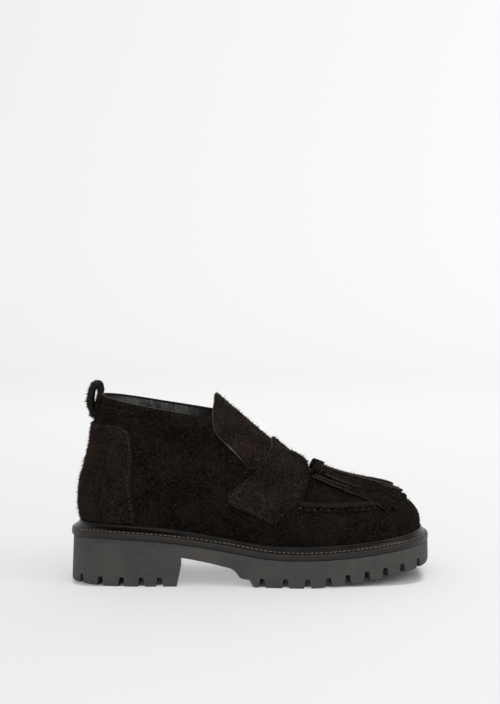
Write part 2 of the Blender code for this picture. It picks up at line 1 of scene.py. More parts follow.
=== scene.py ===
# %% [markdown]
# # A suede ankle loafer with tassels
#
# The real shoe is a right one: a suede upper with a stiff heel, a tongue flap, a strap across the instep
# and two tassels, all on a welt and a lugged rubber sole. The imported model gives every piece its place.
# This script makes a finer piece for each of them, from the same form, and gives each its finish.

import math

import bmesh
import bpy
import numpy as np
from mathutils import Matrix, Vector
from mathutils.geometry import delaunay_2d_cdt


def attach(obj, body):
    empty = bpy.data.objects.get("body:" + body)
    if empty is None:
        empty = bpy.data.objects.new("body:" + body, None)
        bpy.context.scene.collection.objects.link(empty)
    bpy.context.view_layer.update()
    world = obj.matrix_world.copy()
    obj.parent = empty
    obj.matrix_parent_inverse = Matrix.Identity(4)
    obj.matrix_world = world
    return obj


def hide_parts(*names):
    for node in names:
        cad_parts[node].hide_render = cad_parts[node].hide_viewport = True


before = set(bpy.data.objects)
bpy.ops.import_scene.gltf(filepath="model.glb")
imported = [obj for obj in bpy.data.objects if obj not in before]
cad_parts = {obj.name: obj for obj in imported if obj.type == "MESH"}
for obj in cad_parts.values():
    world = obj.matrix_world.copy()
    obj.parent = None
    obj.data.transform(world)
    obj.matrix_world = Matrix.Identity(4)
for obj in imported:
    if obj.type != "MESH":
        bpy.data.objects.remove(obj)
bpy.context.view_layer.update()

# %% [markdown]
# ## The shoe's form
#
# A shoemaker starts from a last, the wooden form that the leather is pulled over. Here the last is a table:
# each ring goes round the shoe at one height, and smooth curves run between the rings. A place on it is
# two numbers. The turn goes round, 0 at the back, 0.25 on the outer side and 0.5 at the toe. The rise goes
# up, 0 at the sole and 1 at the collar. Every piece of the upper is laid out in these two numbers, so the
# pieces lie on one another without gaps. Lengths are in millimetres until a mesh is made.

# %% Sizes of the form
LENGTH = 277.6
BED_LENGTH = 275.0
BALL_WIDTH = 101.0
HEEL_WIDTH = 77.0
WAIST_WIDTH = 80.0
HEEL_LIFT = 45.5
UPPER_HEIGHT = 96.0
SIDE_HEIGHT = HEEL_LIFT + UPPER_HEIGHT
WALL = 2.4
WELT_DROP = 4.6
WELT_EDGE = 4.8
LUG_DEPTH = 6.8
SLOT_WIDTH = 5.6
SLOT_REACH = 15.0
CLEARANCE = 0.3
LEDGE = 2.9
LAP = 12.0
SEAM = 0.27
NUDGE = 1e-4
BED = [(-0.50, 0.965), (-0.44, 1.0), (-0.36, 0.998), (-0.25, 0.952), (-0.14, 0.864), (-0.03, 0.750)]
BED += [(0.04, 0.686), (0.12, 0.664), (0.20, 0.674), (0.30, 0.703), (0.40, 0.748), (0.50, 0.800)]
SWING = [(-0.50, 0.0), (-0.10, -0.028), (0.16, -0.02), (0.34, 0.018), (0.50, 0.062)]
OUTLINE = [(0.16, HEEL_WIDTH / 2), (0.42, WAIST_WIDTH / 2), (0.68, BALL_WIDTH / 2)]
OUTLINE += [(0.86, 0.885 * BALL_WIDTH / 2)]
BACK_ROUNDNESS = 0.135
TOE_ROUNDNESS = 0.16
RINGS = np.array(
    [
        (0.00, -0.473, 0.478, -0.027, -0.027, -0.027, -0.027, -0.027, 0.640, 0.360, 0.366, 0.515, 0.700),
        (0.08, -0.480, 0.480, 0.130, 0.132, 0.146, 0.120, 0.078, 0.668, 0.400, 0.412, 0.535, 0.715),
        (0.17, -0.479, 0.464, 0.235, 0.247, 0.253, 0.200, 0.177, 0.658, 0.410, 0.420, 0.522, 0.690),
        (0.27, -0.475, 0.430, 0.329, 0.345, 0.356, 0.288, 0.261, 0.632, 0.406, 0.410, 0.474, 0.640),
        (0.39, -0.465, 0.357, 0.422, 0.440, 0.434, 0.383, 0.338, 0.590, 0.396, 0.384, 0.398, 0.400),
        (0.53, -0.456, 0.255, 0.515, 0.530, 0.516, 0.493, 0.427, 0.532, 0.378, 0.368, 0.392, 0.335),
        (0.67, -0.447, 0.152, 0.617, 0.631, 0.604, 0.622, 0.566, 0.473, 0.358, 0.348, 0.380, 0.318),
        (0.84, -0.440, 0.051, 0.760, 0.764, 0.724, 0.758, 0.774, 0.412, 0.334, 0.330, 0.366, 0.338),
        (1.00, -0.417, -0.036, 0.997, 0.953, 0.927, 0.925, 0.956, 0.358, 0.326, 0.318, 0.355, 0.325),
        (1.18, -0.396, -0.104, 1.200, 1.145, 1.115, 1.120, 1.088, 0.350, 0.326, 0.318, 0.350, 0.325),
    ]
)

# %% Smooth curves through a table
def spline(knots, values, at, flat=False):
    """A cubic through the knots, one column of values for each place; flat makes both ends level."""
    gaps = np.diff(knots)[:, None]
    slopes = np.diff(values, axis=0) / gaps
    matrix = np.eye(len(knots))
    right = np.zeros(values.shape)
    for i in range(1, len(knots) - 1):
        before, after = gaps[i - 1, 0], gaps[i, 0]
        matrix[i, i - 1 : i + 2] = before, 2 * (before + after), after
        right[i] = 6 * (slopes[i] - slopes[i - 1])
    if flat:
        matrix[0, :2] = 2 * gaps[0, 0], gaps[0, 0]
        matrix[-1, -2:] = gaps[-1, 0], 2 * gaps[-1, 0]
        right[0] = 6 * slopes[0]
        right[-1] = -6 * slopes[-1]
    bends = np.linalg.solve(matrix, right)
    i = np.clip(np.searchsorted(knots, at) - 1, 0, len(knots) - 2)
    column = np.arange(len(at))
    gap = gaps[i, 0]
    before = (knots[i + 1] - at) / gap
    after = 1 - before
    curve = (before**3 - before) * bends[i, column] + (after**3 - after) * bends[i + 1, column]
    return before * values[i, column] + after * values[i + 1, column] + curve * gap**2 / 6


def along(table, at, flat=False):
    """A two-column table read as a smooth curve."""
    table = np.asarray(table, float)
    places = np.asarray(at, float)
    values = np.repeat(table[:, 1:2], places.size, axis=1)
    return spline(table[:, 0], values, places.ravel(), flat).reshape(places.shape)


def smooth_step(value):
    value = np.clip(value, 0, 1)
    return value * value * (3 - 2 * value)


def unit(vectors):
    return vectors / np.linalg.norm(vectors, axis=-1, keepdims=True)


# %% The sole's outline and the bed that the foot stands on
OFF_CENTRE = 0.0


def bed(x):
    return HEEL_LIFT * along(BED, np.clip(x / BED_LENGTH, -0.5, 0.5))


def swing(x):
    return BALL_WIDTH * along(SWING, np.clip(x / BED_LENGTH, -0.5, 0.5)) - OFF_CENTRE


def sole_edge(turn):
    angle = 2 * math.pi * np.asarray(turn, float)
    folded = np.arccos(np.cos(angle))
    stations = np.array(OUTLINE)
    places = np.arccos(1 - 2 * stations[:, 0])
    ends = np.sqrt(np.array([BACK_ROUNDNESS, TOE_ROUNDNESS]) / 2) * LENGTH
    knots = np.concatenate([[0.0], places, [math.pi]])
    fulls = np.concatenate([ends[:1], stations[:, 1] / np.sin(places), ends[1:]])
    full = along(np.stack([knots, fulls], axis=1), folded, flat=True)
    x = -LENGTH / 2 * np.cos(angle)
    return np.stack([x, swing(x) - full * np.sin(angle)], axis=-1)


def outline(turn, inset=0.0):
    """The sole's outline moved in by inset, and the outward direction there."""
    ahead = sole_edge(turn + NUDGE) - sole_edge(turn - NUDGE)
    outward = unit(np.stack([ahead[..., 1], -ahead[..., 0]], axis=-1))
    return sole_edge(turn) - outward * np.asarray(inset)[..., None], outward


fine = sole_edge(np.linspace(0, 1, 721))
OFF_CENTRE = float(fine[:, 1].max() + fine[:, 1].min()) / 2
print("the sole's centreline is moved by", round(OFF_CENTRE, 2), "mm")

# %% The upper's surface
def surface(turn, rise):
    turn, rise = np.broadcast_arrays(np.asarray(turn, float), np.asarray(rise, float))
    angle = 2 * math.pi * turn.ravel()
    folded = np.arccos(np.cos(angle))
    rows = [along(RINGS[:, [0, column]], rise.ravel()) for column in range(1, RINGS.shape[1])]
    back, front = BED_LENGTH * rows[0], BED_LENGTH * rows[1]
    knots = np.radians([0.0, 60.0, 90.0, 120.0, 180.0])
    height = UPPER_HEIGHT * spline(knots, np.stack(rows[2:7]), folded, flat=True)
    full = BALL_WIDTH * spline(knots, np.stack(rows[7:12]), folded, flat=True)
    x = back + (front - back) * (1 - np.cos(angle)) / 2
    y = swing(x) - full * np.sin(angle)
    return np.stack([x, y, bed(x) + height], axis=-1).reshape(turn.shape + (3,))


def upper_point(turn, rise, depth=0.0):
    """A point of the upper, depth in from its outer surface, or out from it where depth is negative."""
    turn, rise = np.broadcast_arrays(np.asarray(turn, float), np.asarray(rise, float))
    step = 2e-3
    along_ring = surface(turn + step, rise) - surface(turn - step, rise)
    up = surface(turn, rise + step) - surface(turn, rise - step)
    return surface(turn, rise) - unit(np.cross(along_ring, up)) * np.asarray(depth)[..., None]


def pace(turn):
    """Millimetres for each unit of rise, at the apron's seam."""
    return np.linalg.norm(surface(turn, SEAM + 0.01) - surface(turn, SEAM - 0.01), axis=-1) / 0.02


# %% [markdown]
# ## The camera
#
# A product photograph is taken from a little above the shoe with a long lens, so the sole looks level and
# the sides stay nearly parallel. The camera stands on the outer side, 1.12 m away, looking slightly down.

# %% Camera
FOCAL_PIXELS = 1456.0
PICTURE_HEIGHT = 704.0
CAMERA_PLACE = (-0.0004, -1.12, 0.257)
LOOKING_DOWN = 4.2
TURNED_RIGHT = 0.5


def linked(name, data):
    """A new object of the scene that shows the data."""
    made = bpy.data.objects.new(name, data)
    bpy.context.scene.collection.objects.link(made)
    return made


camera_data = bpy.data.cameras.new("camera")
camera_data.sensor_fit = "VERTICAL"
camera_data.sensor_height = 36.0
camera_data.lens = FOCAL_PIXELS * camera_data.sensor_height / PICTURE_HEIGHT
camera_data.shift_x = 1.7 / PICTURE_HEIGHT
camera_data.shift_y = -1.5 / PICTURE_HEIGHT
camera_data.clip_start = 0.05
camera = linked("camera", camera_data)
camera.location = CAMERA_PLACE
tilted = Matrix.Rotation(math.radians(90 - LOOKING_DOWN), 3, "X")
camera.rotation_euler = (tilted @ Matrix.Rotation(math.radians(-TURNED_RIGHT), 3, "Z")).to_euler()
bpy.context.scene.camera = camera
print("lens", round(camera_data.lens, 1), "mm")

# %% [markdown]
# ## Floor and light
#
# The picture is the usual one for a shop: white paper that curves up behind the shoe. The paper glows by
# its own emission, painted light that keeps the shadow under the sole pale. A bright world gives the even
# light. A wide sun above, a panel in front and a lamp on the right shape the shoe, and a strip behind draws
# the gloss on the leather inside.

# %% Floor
FLOOR_FRONT = -3.0
FLOOR_BACK = 1.9
FLOOR_SIDE = 3.5
COVE_RADIUS = 0.9
WALL_TOP = 2.2
profile = [(FLOOR_FRONT, 0.0)]
for bend in [math.radians(angle) for angle in range(0, 91, 6)]:
    profile.append((FLOOR_BACK + COVE_RADIUS * math.sin(bend), COVE_RADIUS * (1 - math.cos(bend))))
profile.append((FLOOR_BACK + COVE_RADIUS, WALL_TOP))
corners = [(x, y, z) for y, z in profile for x in (-FLOOR_SIDE, FLOOR_SIDE)]
floor_mesh = bpy.data.meshes.new("floor")
strips = [(2 * i, 2 * i + 1, 2 * i + 3, 2 * i + 2) for i in range(len(profile) - 1)]
floor_mesh.from_pydata(corners, [], strips)
floor_mesh.polygons.foreach_set("use_smooth", [True] * len(strips))
floor = linked("floor", floor_mesh)
print("the paper has", len(strips), "strips")

# %% World and lamps
world = bpy.data.worlds.new("studio")
world.use_nodes = True
world.node_tree.nodes["Background"].inputs["Color"].default_value = (1.0, 1.0, 1.0, 1)
world.node_tree.nodes["Background"].inputs["Strength"].default_value = 0.92
bpy.context.scene.world = world


def lamp(name, kind, power, direction, place=(0, 0, 0), **settings):
    """A lamp that lies in the given direction from what it lights."""
    data = bpy.data.lights.new(name, kind)
    for setting, value in settings.items():
        setattr(data, setting, value)
    data.energy = power
    made = linked(name, data)
    made.rotation_euler = Vector(direction).to_track_quat("Z", "Y").to_euler()
    made.location = place


def panel_lamp(name, place, aim, size, power):
    """A rectangular lamp aimed at a point, in metres and watts."""
    wide, high = size
    direction = Vector(place) - Vector(aim)
    lamp(name, "AREA", power, direction, place, shape="RECTANGLE", size=wide, size_y=high)


lamp("overhead", "SUN", 0.5, (0.1, -0.5, 1.0), angle=math.radians(70))
panel_lamp("front_panel", (-0.1, -1.5, 0.45), (0, 0, 0.05), (1.6, 0.5), 4.0)
panel_lamp("right_key", (1.5, -0.5, 1.0), (0, 0, 0.05), (0.9, 0.9), 10.0)
panel_lamp("back_strip", (0.0, 1.2, 0.9), (0, 0, 0.10), (1.8, 0.4), 3.0)
bpy.context.scene.view_settings.view_transform = "Standard"

# %% [markdown]
# ## Writing a material as a formula
#
# A material's nodes are easier to read as sums. One small class wraps a node's output, so that a line such
# as 1 - mask adds the Math node that it needs. Another makes the nodes of one material.

# %% Shader maths
class Value:
    """One number that varies over a surface."""

    def __init__(self, look, socket):
        self.look = look
        self.socket = socket

    def between(self, low, high):
        """0 below low, 1 above high, and smooth between them."""
        settings = {"interpolation_type": "SMOOTHSTEP"}
        return self.look.node("ShaderNodeMapRange", settings, {0: self, 1: low, 2: high}, 0)


def math_node(operation, turned=False):
    """A method that adds one Math node; turned serves the case where the plain number comes first."""

    def method(value, other):
        pair = (other, value) if turned else (value, other)
        return value.look.node("ShaderNodeMath", {"operation": operation}, dict(enumerate(pair)))

    return method


for sign, operation in (("add", "ADD"), ("sub", "SUBTRACT"), ("mul", "MULTIPLY"), ("pow", "POWER")):
    setattr(Value, f"__{sign}__", math_node(operation))
    setattr(Value, f"__r{sign}__", math_node(operation, True))


# %% A material and its nodes
class Look:
    """A material with one Principled shader, and what is needed to write its formulas."""

    def __init__(self, name, roughness, **constants):
        self.material = bpy.data.materials.new(name)
        self.material.use_nodes = True
        self.tree = self.material.node_tree
        self.shader = self.tree.nodes["Principled BSDF"]
        self.shader.inputs["Roughness"].default_value = roughness
        for socket, value in constants.items():
            self.shader.inputs[socket.replace("_", " ")].default_value = value
        self.place = self.node("ShaderNodeTexCoord", {}, {}, "Object")

    def node(self, kind, settings, inputs, output=0):
        """Adds a node with its settings, and values or links for its sockets."""
        made = self.tree.nodes.new(kind)
        for name, value in settings.items():
            setattr(made, name, value)
        for slot, value in inputs.items():
            if isinstance(value, Value):
                self.tree.links.new(value.socket, made.inputs[slot])
            else:
                made.inputs[slot].default_value = value
        return Value(self, made.outputs[output])

    def stretched(self, scale, turn=(0, 0, 0)):
        return self.node("ShaderNodeMapping", {}, {"Vector": self.place, "Scale": scale, "Rotation": turn})

    def noise(self, per_metre, detail=2.0, roughness=0.5, place=None):
        inputs = {"Vector": place or self.place, "Scale": per_metre, "Detail": detail, "Roughness": roughness}
        return self.node("ShaderNodeTexNoise", {}, inputs)

    def cells(self, per_metre):
        inputs = {"Vector": self.place, "Scale": per_metre}
        return self.node("ShaderNodeTexVoronoi", {"feature": "SMOOTH_F1"}, inputs)

    def mix(self, share, first, second):
        """Two colours mixed by a value."""
        inputs = {0: share, 6: first, 7: second}
        return self.node("ShaderNodeMix", {"data_type": "RGBA"}, inputs, 2)

    def bump(self, height, millimetres, strength=1.0, under=None):
        inputs = {"Height": height, "Distance": millimetres / 1000, "Strength": strength}
        if under is not None:
            inputs["Normal"] = under
        return self.node("ShaderNodeBump", {}, inputs)

    def finish(self, **sockets):
        for name, value in sockets.items():
            self.tree.links.new(value.socket, self.shader.inputs[name.replace("_", " ")])
        return self.material


def grey(value, warmth=0.0):
    return (value * (1 + warmth), value, value * (1 - warmth), 1)


# %% [markdown]
# The paper's emission is painted light: it glows a little, more towards the back, the right and up the
# wall. Where the sole stands on it the glow is cut away, a painted shadow, so the tread stays dark.

# %% The paper's look
look = Look("paper", 0.9, Specular_IOR_Level=0.1, Emission_Strength=1.0)
look.shader.inputs["Base Color"].default_value = grey(0.40)
right, back, up = [look.node("ShaderNodeSeparateXYZ", {}, {0: look.place}, axis) for axis in range(3)]
# painted light: the paper's glow rises towards the back, the right and up the wall
painted_glow = 0.345 + back.between(-0.4, 2.8) * 0.12 + up * 0.04 + right * 0.055


def painted_shadow_under_sole(middle, half_length, half_width):
    """1 where the sole stands on the paper and its glow is cut away as painted shadow, in metres."""
    lengthwise = (right - middle) * (1 / half_length)
    sideways = back * (1 / half_width)
    return 1.0 - (lengthwise ** 4.0 + sideways ** 4.0).between(0.75, 1.1)


# painted shadow: the glow is cut where the heel and the ball stand on the paper
painted_shadow_heel = painted_shadow_under_sole(-0.097, 0.041, 0.038)
painted_shadow_ball = painted_shadow_under_sole(0.052, 0.082, 0.046) * right.between(-0.002, 0.006)
floor_mesh.materials.append(look.finish(Emission_Color=painted_glow * (1.0 - (painted_shadow_heel + painted_shadow_ball) * 0.96)))

# %% [markdown]
# ## Suede
#
# Suede is leather with its flesh side out, brushed into a short nap. It has no gloss. Where the nap has
# been pushed one way it looks lighter, where it has been pushed the other way darker, in patches with soft
# borders, and tufts and single fibres show as a coarse grain. Four sizes of noise make the patches, the
# tufts, the brush marks and the flecks of single fibres. An attribute of the mesh, rubbed, lightens the
# apron's roll, partly wear of the nap and partly a painted highlight, and lightens the collar's top; it
# darkens the channel and the fold under the roll with painted shade.

# %% Suede
def suede(name, dark, light, sheen, patch=58.0):
    look = Look(name, 0.95, Sheen_Weight=sheen, Sheen_Roughness=0.42, Specular_IOR_Level=0.03)
    look.shader.inputs["Sheen Tint"].default_value = (0.72, 0.5, 0.38, 1)
    patches = look.noise(patch, 2.0, 0.55).between(0.38, 0.66)
    tufts = look.noise(430.0, 2.5, 0.65)
    strokes = look.noise(1.0, 3.0, 0.6, look.stretched((260.0, 620.0, 900.0), (0.0, 0.5, 0.3)))
    flecks = look.noise(820.0, 2.0, 0.7)
    # rubbed lightens the apron's roll, partly wear and partly painted highlight, and the collar's top, and
    # darkens the channel and the fold under the roll with painted shade
    rubbed = look.node("ShaderNodeAttribute", {"attribute_name": "rubbed"}, {}, 2)
    shade = patches * 0.26 + tufts.between(0.40, 0.62) * 0.24 + strokes.between(0.4, 0.7) * 0.12
    shade = shade + flecks.between(0.51, 0.61) * 0.54 + rubbed * 0.55
    nap = look.bump(flecks, 0.30, 0.9)
    brushed = look.bump(tufts + strokes * 0.6, 0.7, 0.8, nap)
    return look.finish(Base_Color=look.mix(shade, dark, light), Normal=brushed)


upper_suede = suede("upper_suede", (0.0008, 0.0008, 0.0005, 1), (0.0148, 0.0122, 0.0087, 1), 0.010)
panel_suede = suede("panel_suede", (0.0020, 0.0014, 0.0010, 1), (0.0285, 0.0205, 0.0160, 1), 0.022)
tassel_colours = (0.0011, 0.0010, 0.0007, 1), (0.0165, 0.0136, 0.0100, 1)
tassel_suede = suede("tassel_suede", *tassel_colours, 0.018, 130.0)

# %% [markdown]
# ## Cut edges, thread, lining, welt and rubber
#
# A cut edge of suede shows the pale core of the hide, a thin light line along the flap and the strap. Where
# the edge has been dyed or lies in the nap it stays dark. The thread is waxed and brown. The lining is
# smooth black leather with a shallow grain and soft wrinkles, which mirrors the white room. The welt is
# dyed and waxed almost black, so it has a harder gloss. The sole is moulded rubber with a matt skin, a
# little uneven in colour.

# %% Cut edges
def edge_look(name, dark, light):
    look = Look(name, 0.9, Specular_IOR_Level=0.1)
    grain = look.noise(1100.0, 3.0, 0.7)
    colour = look.mix(grain.between(0.35, 0.65), dark, light)
    return look.finish(Base_Color=colour, Normal=look.bump(grain, 0.2, 0.8))


cut_edge = edge_look("cut_edge", (0.034, 0.027, 0.022, 1), (0.135, 0.112, 0.094, 1))
strip_edge = edge_look("strip_edge", (0.016, 0.0125, 0.010, 1), (0.062, 0.050, 0.041, 1))
dark_edge = edge_look("dark_edge", (0.0028, 0.0020, 0.0015, 1), (0.016, 0.012, 0.0095, 1))

# %% Threads
def thread_look(name, dark, light):
    look = Look(name, 0.55, Specular_IOR_Level=0.2)
    strands = look.noise(2500.0, 1.0)
    colour = look.mix(strands.between(0.3, 0.7), dark, light)
    return look.finish(Base_Color=colour, Normal=look.bump(strands, 0.1, 0.6))


thread = thread_look("thread", (0.055, 0.042, 0.030, 1), (0.16, 0.125, 0.09, 1))
dark_thread = thread_look("dark_thread", (0.020, 0.015, 0.011, 1), (0.070, 0.054, 0.040, 1))

# %% Lining leather
look = Look("lining_leather", 0.32, Specular_IOR_Level=0.55)
pebbles = look.cells(900.0)
wrinkles = look.noise(1.0, 2.0, 0.5, look.stretched((210.0, 90.0, 50.0), (0.2, 0.5, 0.0)))
rubbed = look.noise(60.0, 2.0)
lining = look.finish(
    Base_Color=look.mix(rubbed.between(0.3, 0.7), (0.024, 0.024, 0.024, 1), (0.062, 0.060, 0.060, 1)),
    Roughness=0.24 + rubbed * 0.2,
    Normal=look.bump(wrinkles, 3.0, 0.8, look.bump(pebbles, 0.12, 0.5)),
)

# %% Sock leather
look = Look("sock_leather", 0.42, Specular_IOR_Level=0.4)
pebbles = look.cells(800.0)
pressed = look.noise(26.0, 2.0)
sock_leather = look.finish(
    Base_Color=look.mix(pressed.between(0.3, 0.7), (0.008, 0.008, 0.008, 1), (0.019, 0.018, 0.018, 1)),
    Roughness=0.34 + pressed * 0.2,
    Normal=look.bump(pressed, 1.2, 0.3, look.bump(pebbles, 0.14, 0.5)),
)

# %% Welt leather
look = Look("waxed_welt", 0.3, Specular_IOR_Level=0.12)
grain = look.noise(1100.0, 3.0, 0.6)
worn = look.noise(70.0, 2.0)
welt_leather = look.finish(
    Base_Color=look.mix(worn.between(0.3, 0.7), (0.0020, 0.0016, 0.0013, 1), (0.0062, 0.0050, 0.0042, 1)),
    Roughness=0.16 + 0.16 * grain,
    Normal=look.bump(grain, 0.1, 0.5),
)

# %% Welt edge
look = Look("welt_edge_painted_highlight", 0.4, Specular_IOR_Level=0.25)
grain = look.noise(1.0, 3.0, 0.6, look.stretched((300.0, 300.0, 2200.0)))
# the edge's base is lighter than the land's: partly the welt's own brown, partly a painted highlight along
# the edge
welt_edge_painted_highlight = look.finish(
    Base_Color=look.mix(grain.between(0.3, 0.7), (0.0060, 0.0050, 0.0042, 1), (0.0190, 0.0160, 0.0138, 1)),
    Roughness=0.30 + 0.22 * grain,
    Normal=look.bump(grain, 0.12, 0.5),
)

# %% Sole rubber
look = Look("sole_rubber", 0.62, Specular_IOR_Level=0.2)
skin = look.noise(1500.0, 2.0, 0.6)
specks = look.noise(620.0, 2.0, 0.7)
cloud = look.noise(38.0, 3.0, 0.6)
scuffs = look.noise(1.0, 3.0, 0.7, look.stretched((50.0, 50.0, 700.0)))
shade = cloud.between(0.3, 0.7) * 0.45 + scuffs.between(0.3, 0.7) * 0.2 + specks.between(0.32, 0.68) * 0.35
rubber = look.finish(
    Base_Color=look.mix(shade, grey(0.029, 0.06), grey(0.053, 0.08)),
    Roughness=0.55 + 0.15 * cloud,
    Normal=look.bump(skin + specks * 0.6, 0.12, 0.6),
)

# %% [markdown]
# ## Making a piece
#
# Each piece is a mesh whose points are worked out in millimetres and stored in metres, with its object at
# the origin. Its faces are turned outwards, and edges sharper than a given angle stay sharp.

# %% Helpers for meshes
def reshape(mesh, work):
    """Opens a mesh, lets work change it, and closes it again."""
    shape = bmesh.new()
    shape.from_mesh(mesh)
    work(shape)
    shape.to_mesh(mesh)
    shape.free()


def turn_outwards(shape):
    if shape.calc_volume(signed=True) < 0:
        bmesh.ops.reverse_faces(shape, faces=shape.faces)


def smooth(mesh, sharp):
    """Smooth shading, except at edges sharper than an angle in degrees."""
    mesh.polygons.foreach_set("use_smooth", [True] * len(mesh.polygons))
    mesh.set_sharp_from_angle(angle=math.radians(sharp))


def piece(name, points, faces, looks, slots=None, sharp=45.0):
    mesh = bpy.data.meshes.new(name)
    mesh.from_pydata((np.asarray(points) / 1000).tolist(), [], faces)
    for look in looks:
        mesh.materials.append(look)
    if slots is not None:
        mesh.polygons.foreach_set("material_index", slots)
    reshape(mesh, turn_outwards)
    smooth(mesh, sharp)
    print(name, len(mesh.polygons), "faces")
    return linked(name, mesh)


def grid_faces(count, size, closed_rows=True):
    """Faces through rows of points; the points of each row close on themselves."""
    faces = []
    for i in range(count if closed_rows else count - 1):
        low, high = i * size, (i + 1) % count * size
        faces += [[low + j, low + (j + 1) % size, high + (j + 1) % size, high + j] for j in range(size)]
    return faces


def dress(made, node):
    """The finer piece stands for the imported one."""
    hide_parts(node)
    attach(made, "root")


def ride(made):
    """A piece with no packed one to replace."""
    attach(made, "root")


# %% [markdown]
# ## The upper
#
# The upper is one hollow wall. Its outside is suede, its inside the lining, and they meet at the collar,
# where the suede's cut edge shows as a light line outside and a dark one inside. At the toe a round apron
# is sewn to the vamp: the apron's edge is rolled over the seam, a row of long stitches runs in the channel
# under the roll, and a fold follows below. That section is a formula of the distance from the seam, so it
# stays even all the way round. Where the strap covers the seam the roll fades out. The wall could also be
# a surface with a Solidify modifier, but rows of points let the collar's edge and the lining's slack be
# shaped on their own.

# %% The apron's roll
ROLL_HEIGHT = 1.9


def apron(turn, rise):
    """How far the rolled seam stands out from the upper."""
    on = (rise - SEAM) * pace(turn)
    gate = smooth_step((surface(turn, SEAM + 0 * turn)[..., 0] / BED_LENGTH - 0.120) / 0.03)
    roll = ROLL_HEIGHT * np.clip(1 - np.abs((on - 3.3) / 4.0) ** 2.4, 0, 1)
    channel = -0.65 * bell(on, -0.9, 0.5) + 0.3 * smooth_step((on + 4.4) / 0.8) * (on < -1.0)
    fold = -0.5 * bell(on, -4.6, 0.45)
    return gate * (roll + channel + fold)


def bell(value, middle, width):
    """1 at the middle, and down to nothing a little way off."""
    return np.exp(-(((value - middle) / width) ** 2))


def soft_waves(points):
    """Slow, shallow unevenness, as hand-lasted suede has."""
    x, y, z = points[..., 0], points[..., 1], points[..., 2]
    waves = np.sin(0.11 * x + 0.07 * z + 1.3) * np.sin(0.09 * z - 0.05 * x + 0.4)
    waves += 0.6 * np.sin(0.21 * x - 0.13 * z + 0.05 * y) * np.sin(0.17 * z + 0.08 * x + 2.0)
    return 0.28 * waves


# %% Upper
AROUND = 264
turns = np.arange(AROUND) / AROUND
lines = [(rise, 0.0) for rise in np.linspace(0, 0.185, 13)]
lines += [(SEAM, on) for on in np.arange(-6.0, 9.01, 0.4)]
lines += [(rise, 0.0) for rise in np.linspace(0.40, 1.0, 44)]
step_up = pace(turns)
rows, row_slots, wear_and_painted_light = [], [], []
for rise, on in lines:
    at = rise + on / step_up
    plain = surface(turns, at)
    calm = smooth_step((1.0 - at) / 0.12) * smooth_step(at / 0.08)
    calm *= 1 - 0.6 * smooth_step((plain[:, 0] - 60) / 30)
    rows.append(upper_point(turns, at, -(apron(turns, at) + soft_waves(plain) * calm)))
    row_slots.append(0)
    beside = (at - SEAM) * step_up
    # painted shade: darker in the channel under the roll and in the fold below it
    painted_gutter_shade = bell(beside, -1.0, 1.1) + 0.6 * bell(beside, -4.6, 0.7)
    painted_gutter_shade *= smooth_step((plain[:, 0] - 33.0) / 8.0)
    # lighter on the roll, partly wear of the nap and partly painted highlight; lighter too at the collar's
    # top
    roll_wear_and_painted_highlight = np.clip(apron(turns, at) / ROLL_HEIGHT, 0, 1) ** 2
    wear_and_painted_light.append(roll_wear_and_painted_highlight + 0.5 * smooth_step((at - 0.975) / 0.02) - 1.2 * painted_gutter_shade)
COLLAR_EDGE = [(0.0045, 0.1, 0), (0.008, 0.45, 1), (0.009, 0.95, 1), (0.009, 1.3, 3), (0.006, 1.9, 3)]
for lift, depth, slot in COLLAR_EDGE:
    rows.append(upper_point(turns, 1.0 + lift + 0 * turns, depth))
    row_slots.append(slot)
for rise in (1.0, *np.linspace(0.994, 0.0, 34)):
    plain = surface(turns, rise + 0 * turns)
    slack = 0.5 * (soft_waves(1.7 * plain) - 0.25) * smooth_step((1 - rise) / 0.05)
    slack *= smooth_step((rise - 0.1) / 0.2)
    rows.append(upper_point(turns, rise + 0 * turns, WALL - slack))
    row_slots.append(3 if rise == 1.0 else 2)
faces = grid_faces(len(rows), AROUND)
slots = np.repeat(row_slots, AROUND)
looks = [upper_suede, cut_edge, lining, dark_edge]
upper = piece("upper_shell", np.concatenate(rows), faces, looks, slots, 60)
wear_and_painted_light += [np.zeros(AROUND)] * (len(rows) - len(wear_and_painted_light))
# the rubbed attribute carries this wear, painted highlight and painted shade into the suede's colour
rubbed = upper.data.attributes.new("rubbed", "FLOAT", "POINT")
rubbed.data.foreach_set("value", np.concatenate(wear_and_painted_light))
dress(upper, "upper")

# %% [markdown]
# ## Panels sewn on the upper
#
# The counter, the flap, the strap and the tie are flat pieces of suede that follow the upper. Each has a
# side outline, as its pattern would have. The outline is found on the upper's surface, mirrored to the far
# side, and filled with points. Each point is then lifted off the upper by the panel's thickness, and the
# last half millimetre by the edge is rounded down to the cut edge.

# %% A smooth line through a few corners
def blend(t, start, end, first, second):
    return (end - t) / (end - start) * first + (t - start) / (end - start) * second


def run_lengths(curve):
    """How far along a line each of its points lies."""
    return np.concatenate([[0], np.cumsum(np.linalg.norm(np.diff(curve, axis=0), axis=1))])


def evenly(curve, spacing):
    lengths = run_lengths(curve)
    at = np.linspace(0, lengths[-1], max(int(round(lengths[-1] / spacing)), 2) + 1)
    return np.stack([np.interp(at, lengths, column) for column in curve.T], axis=1)


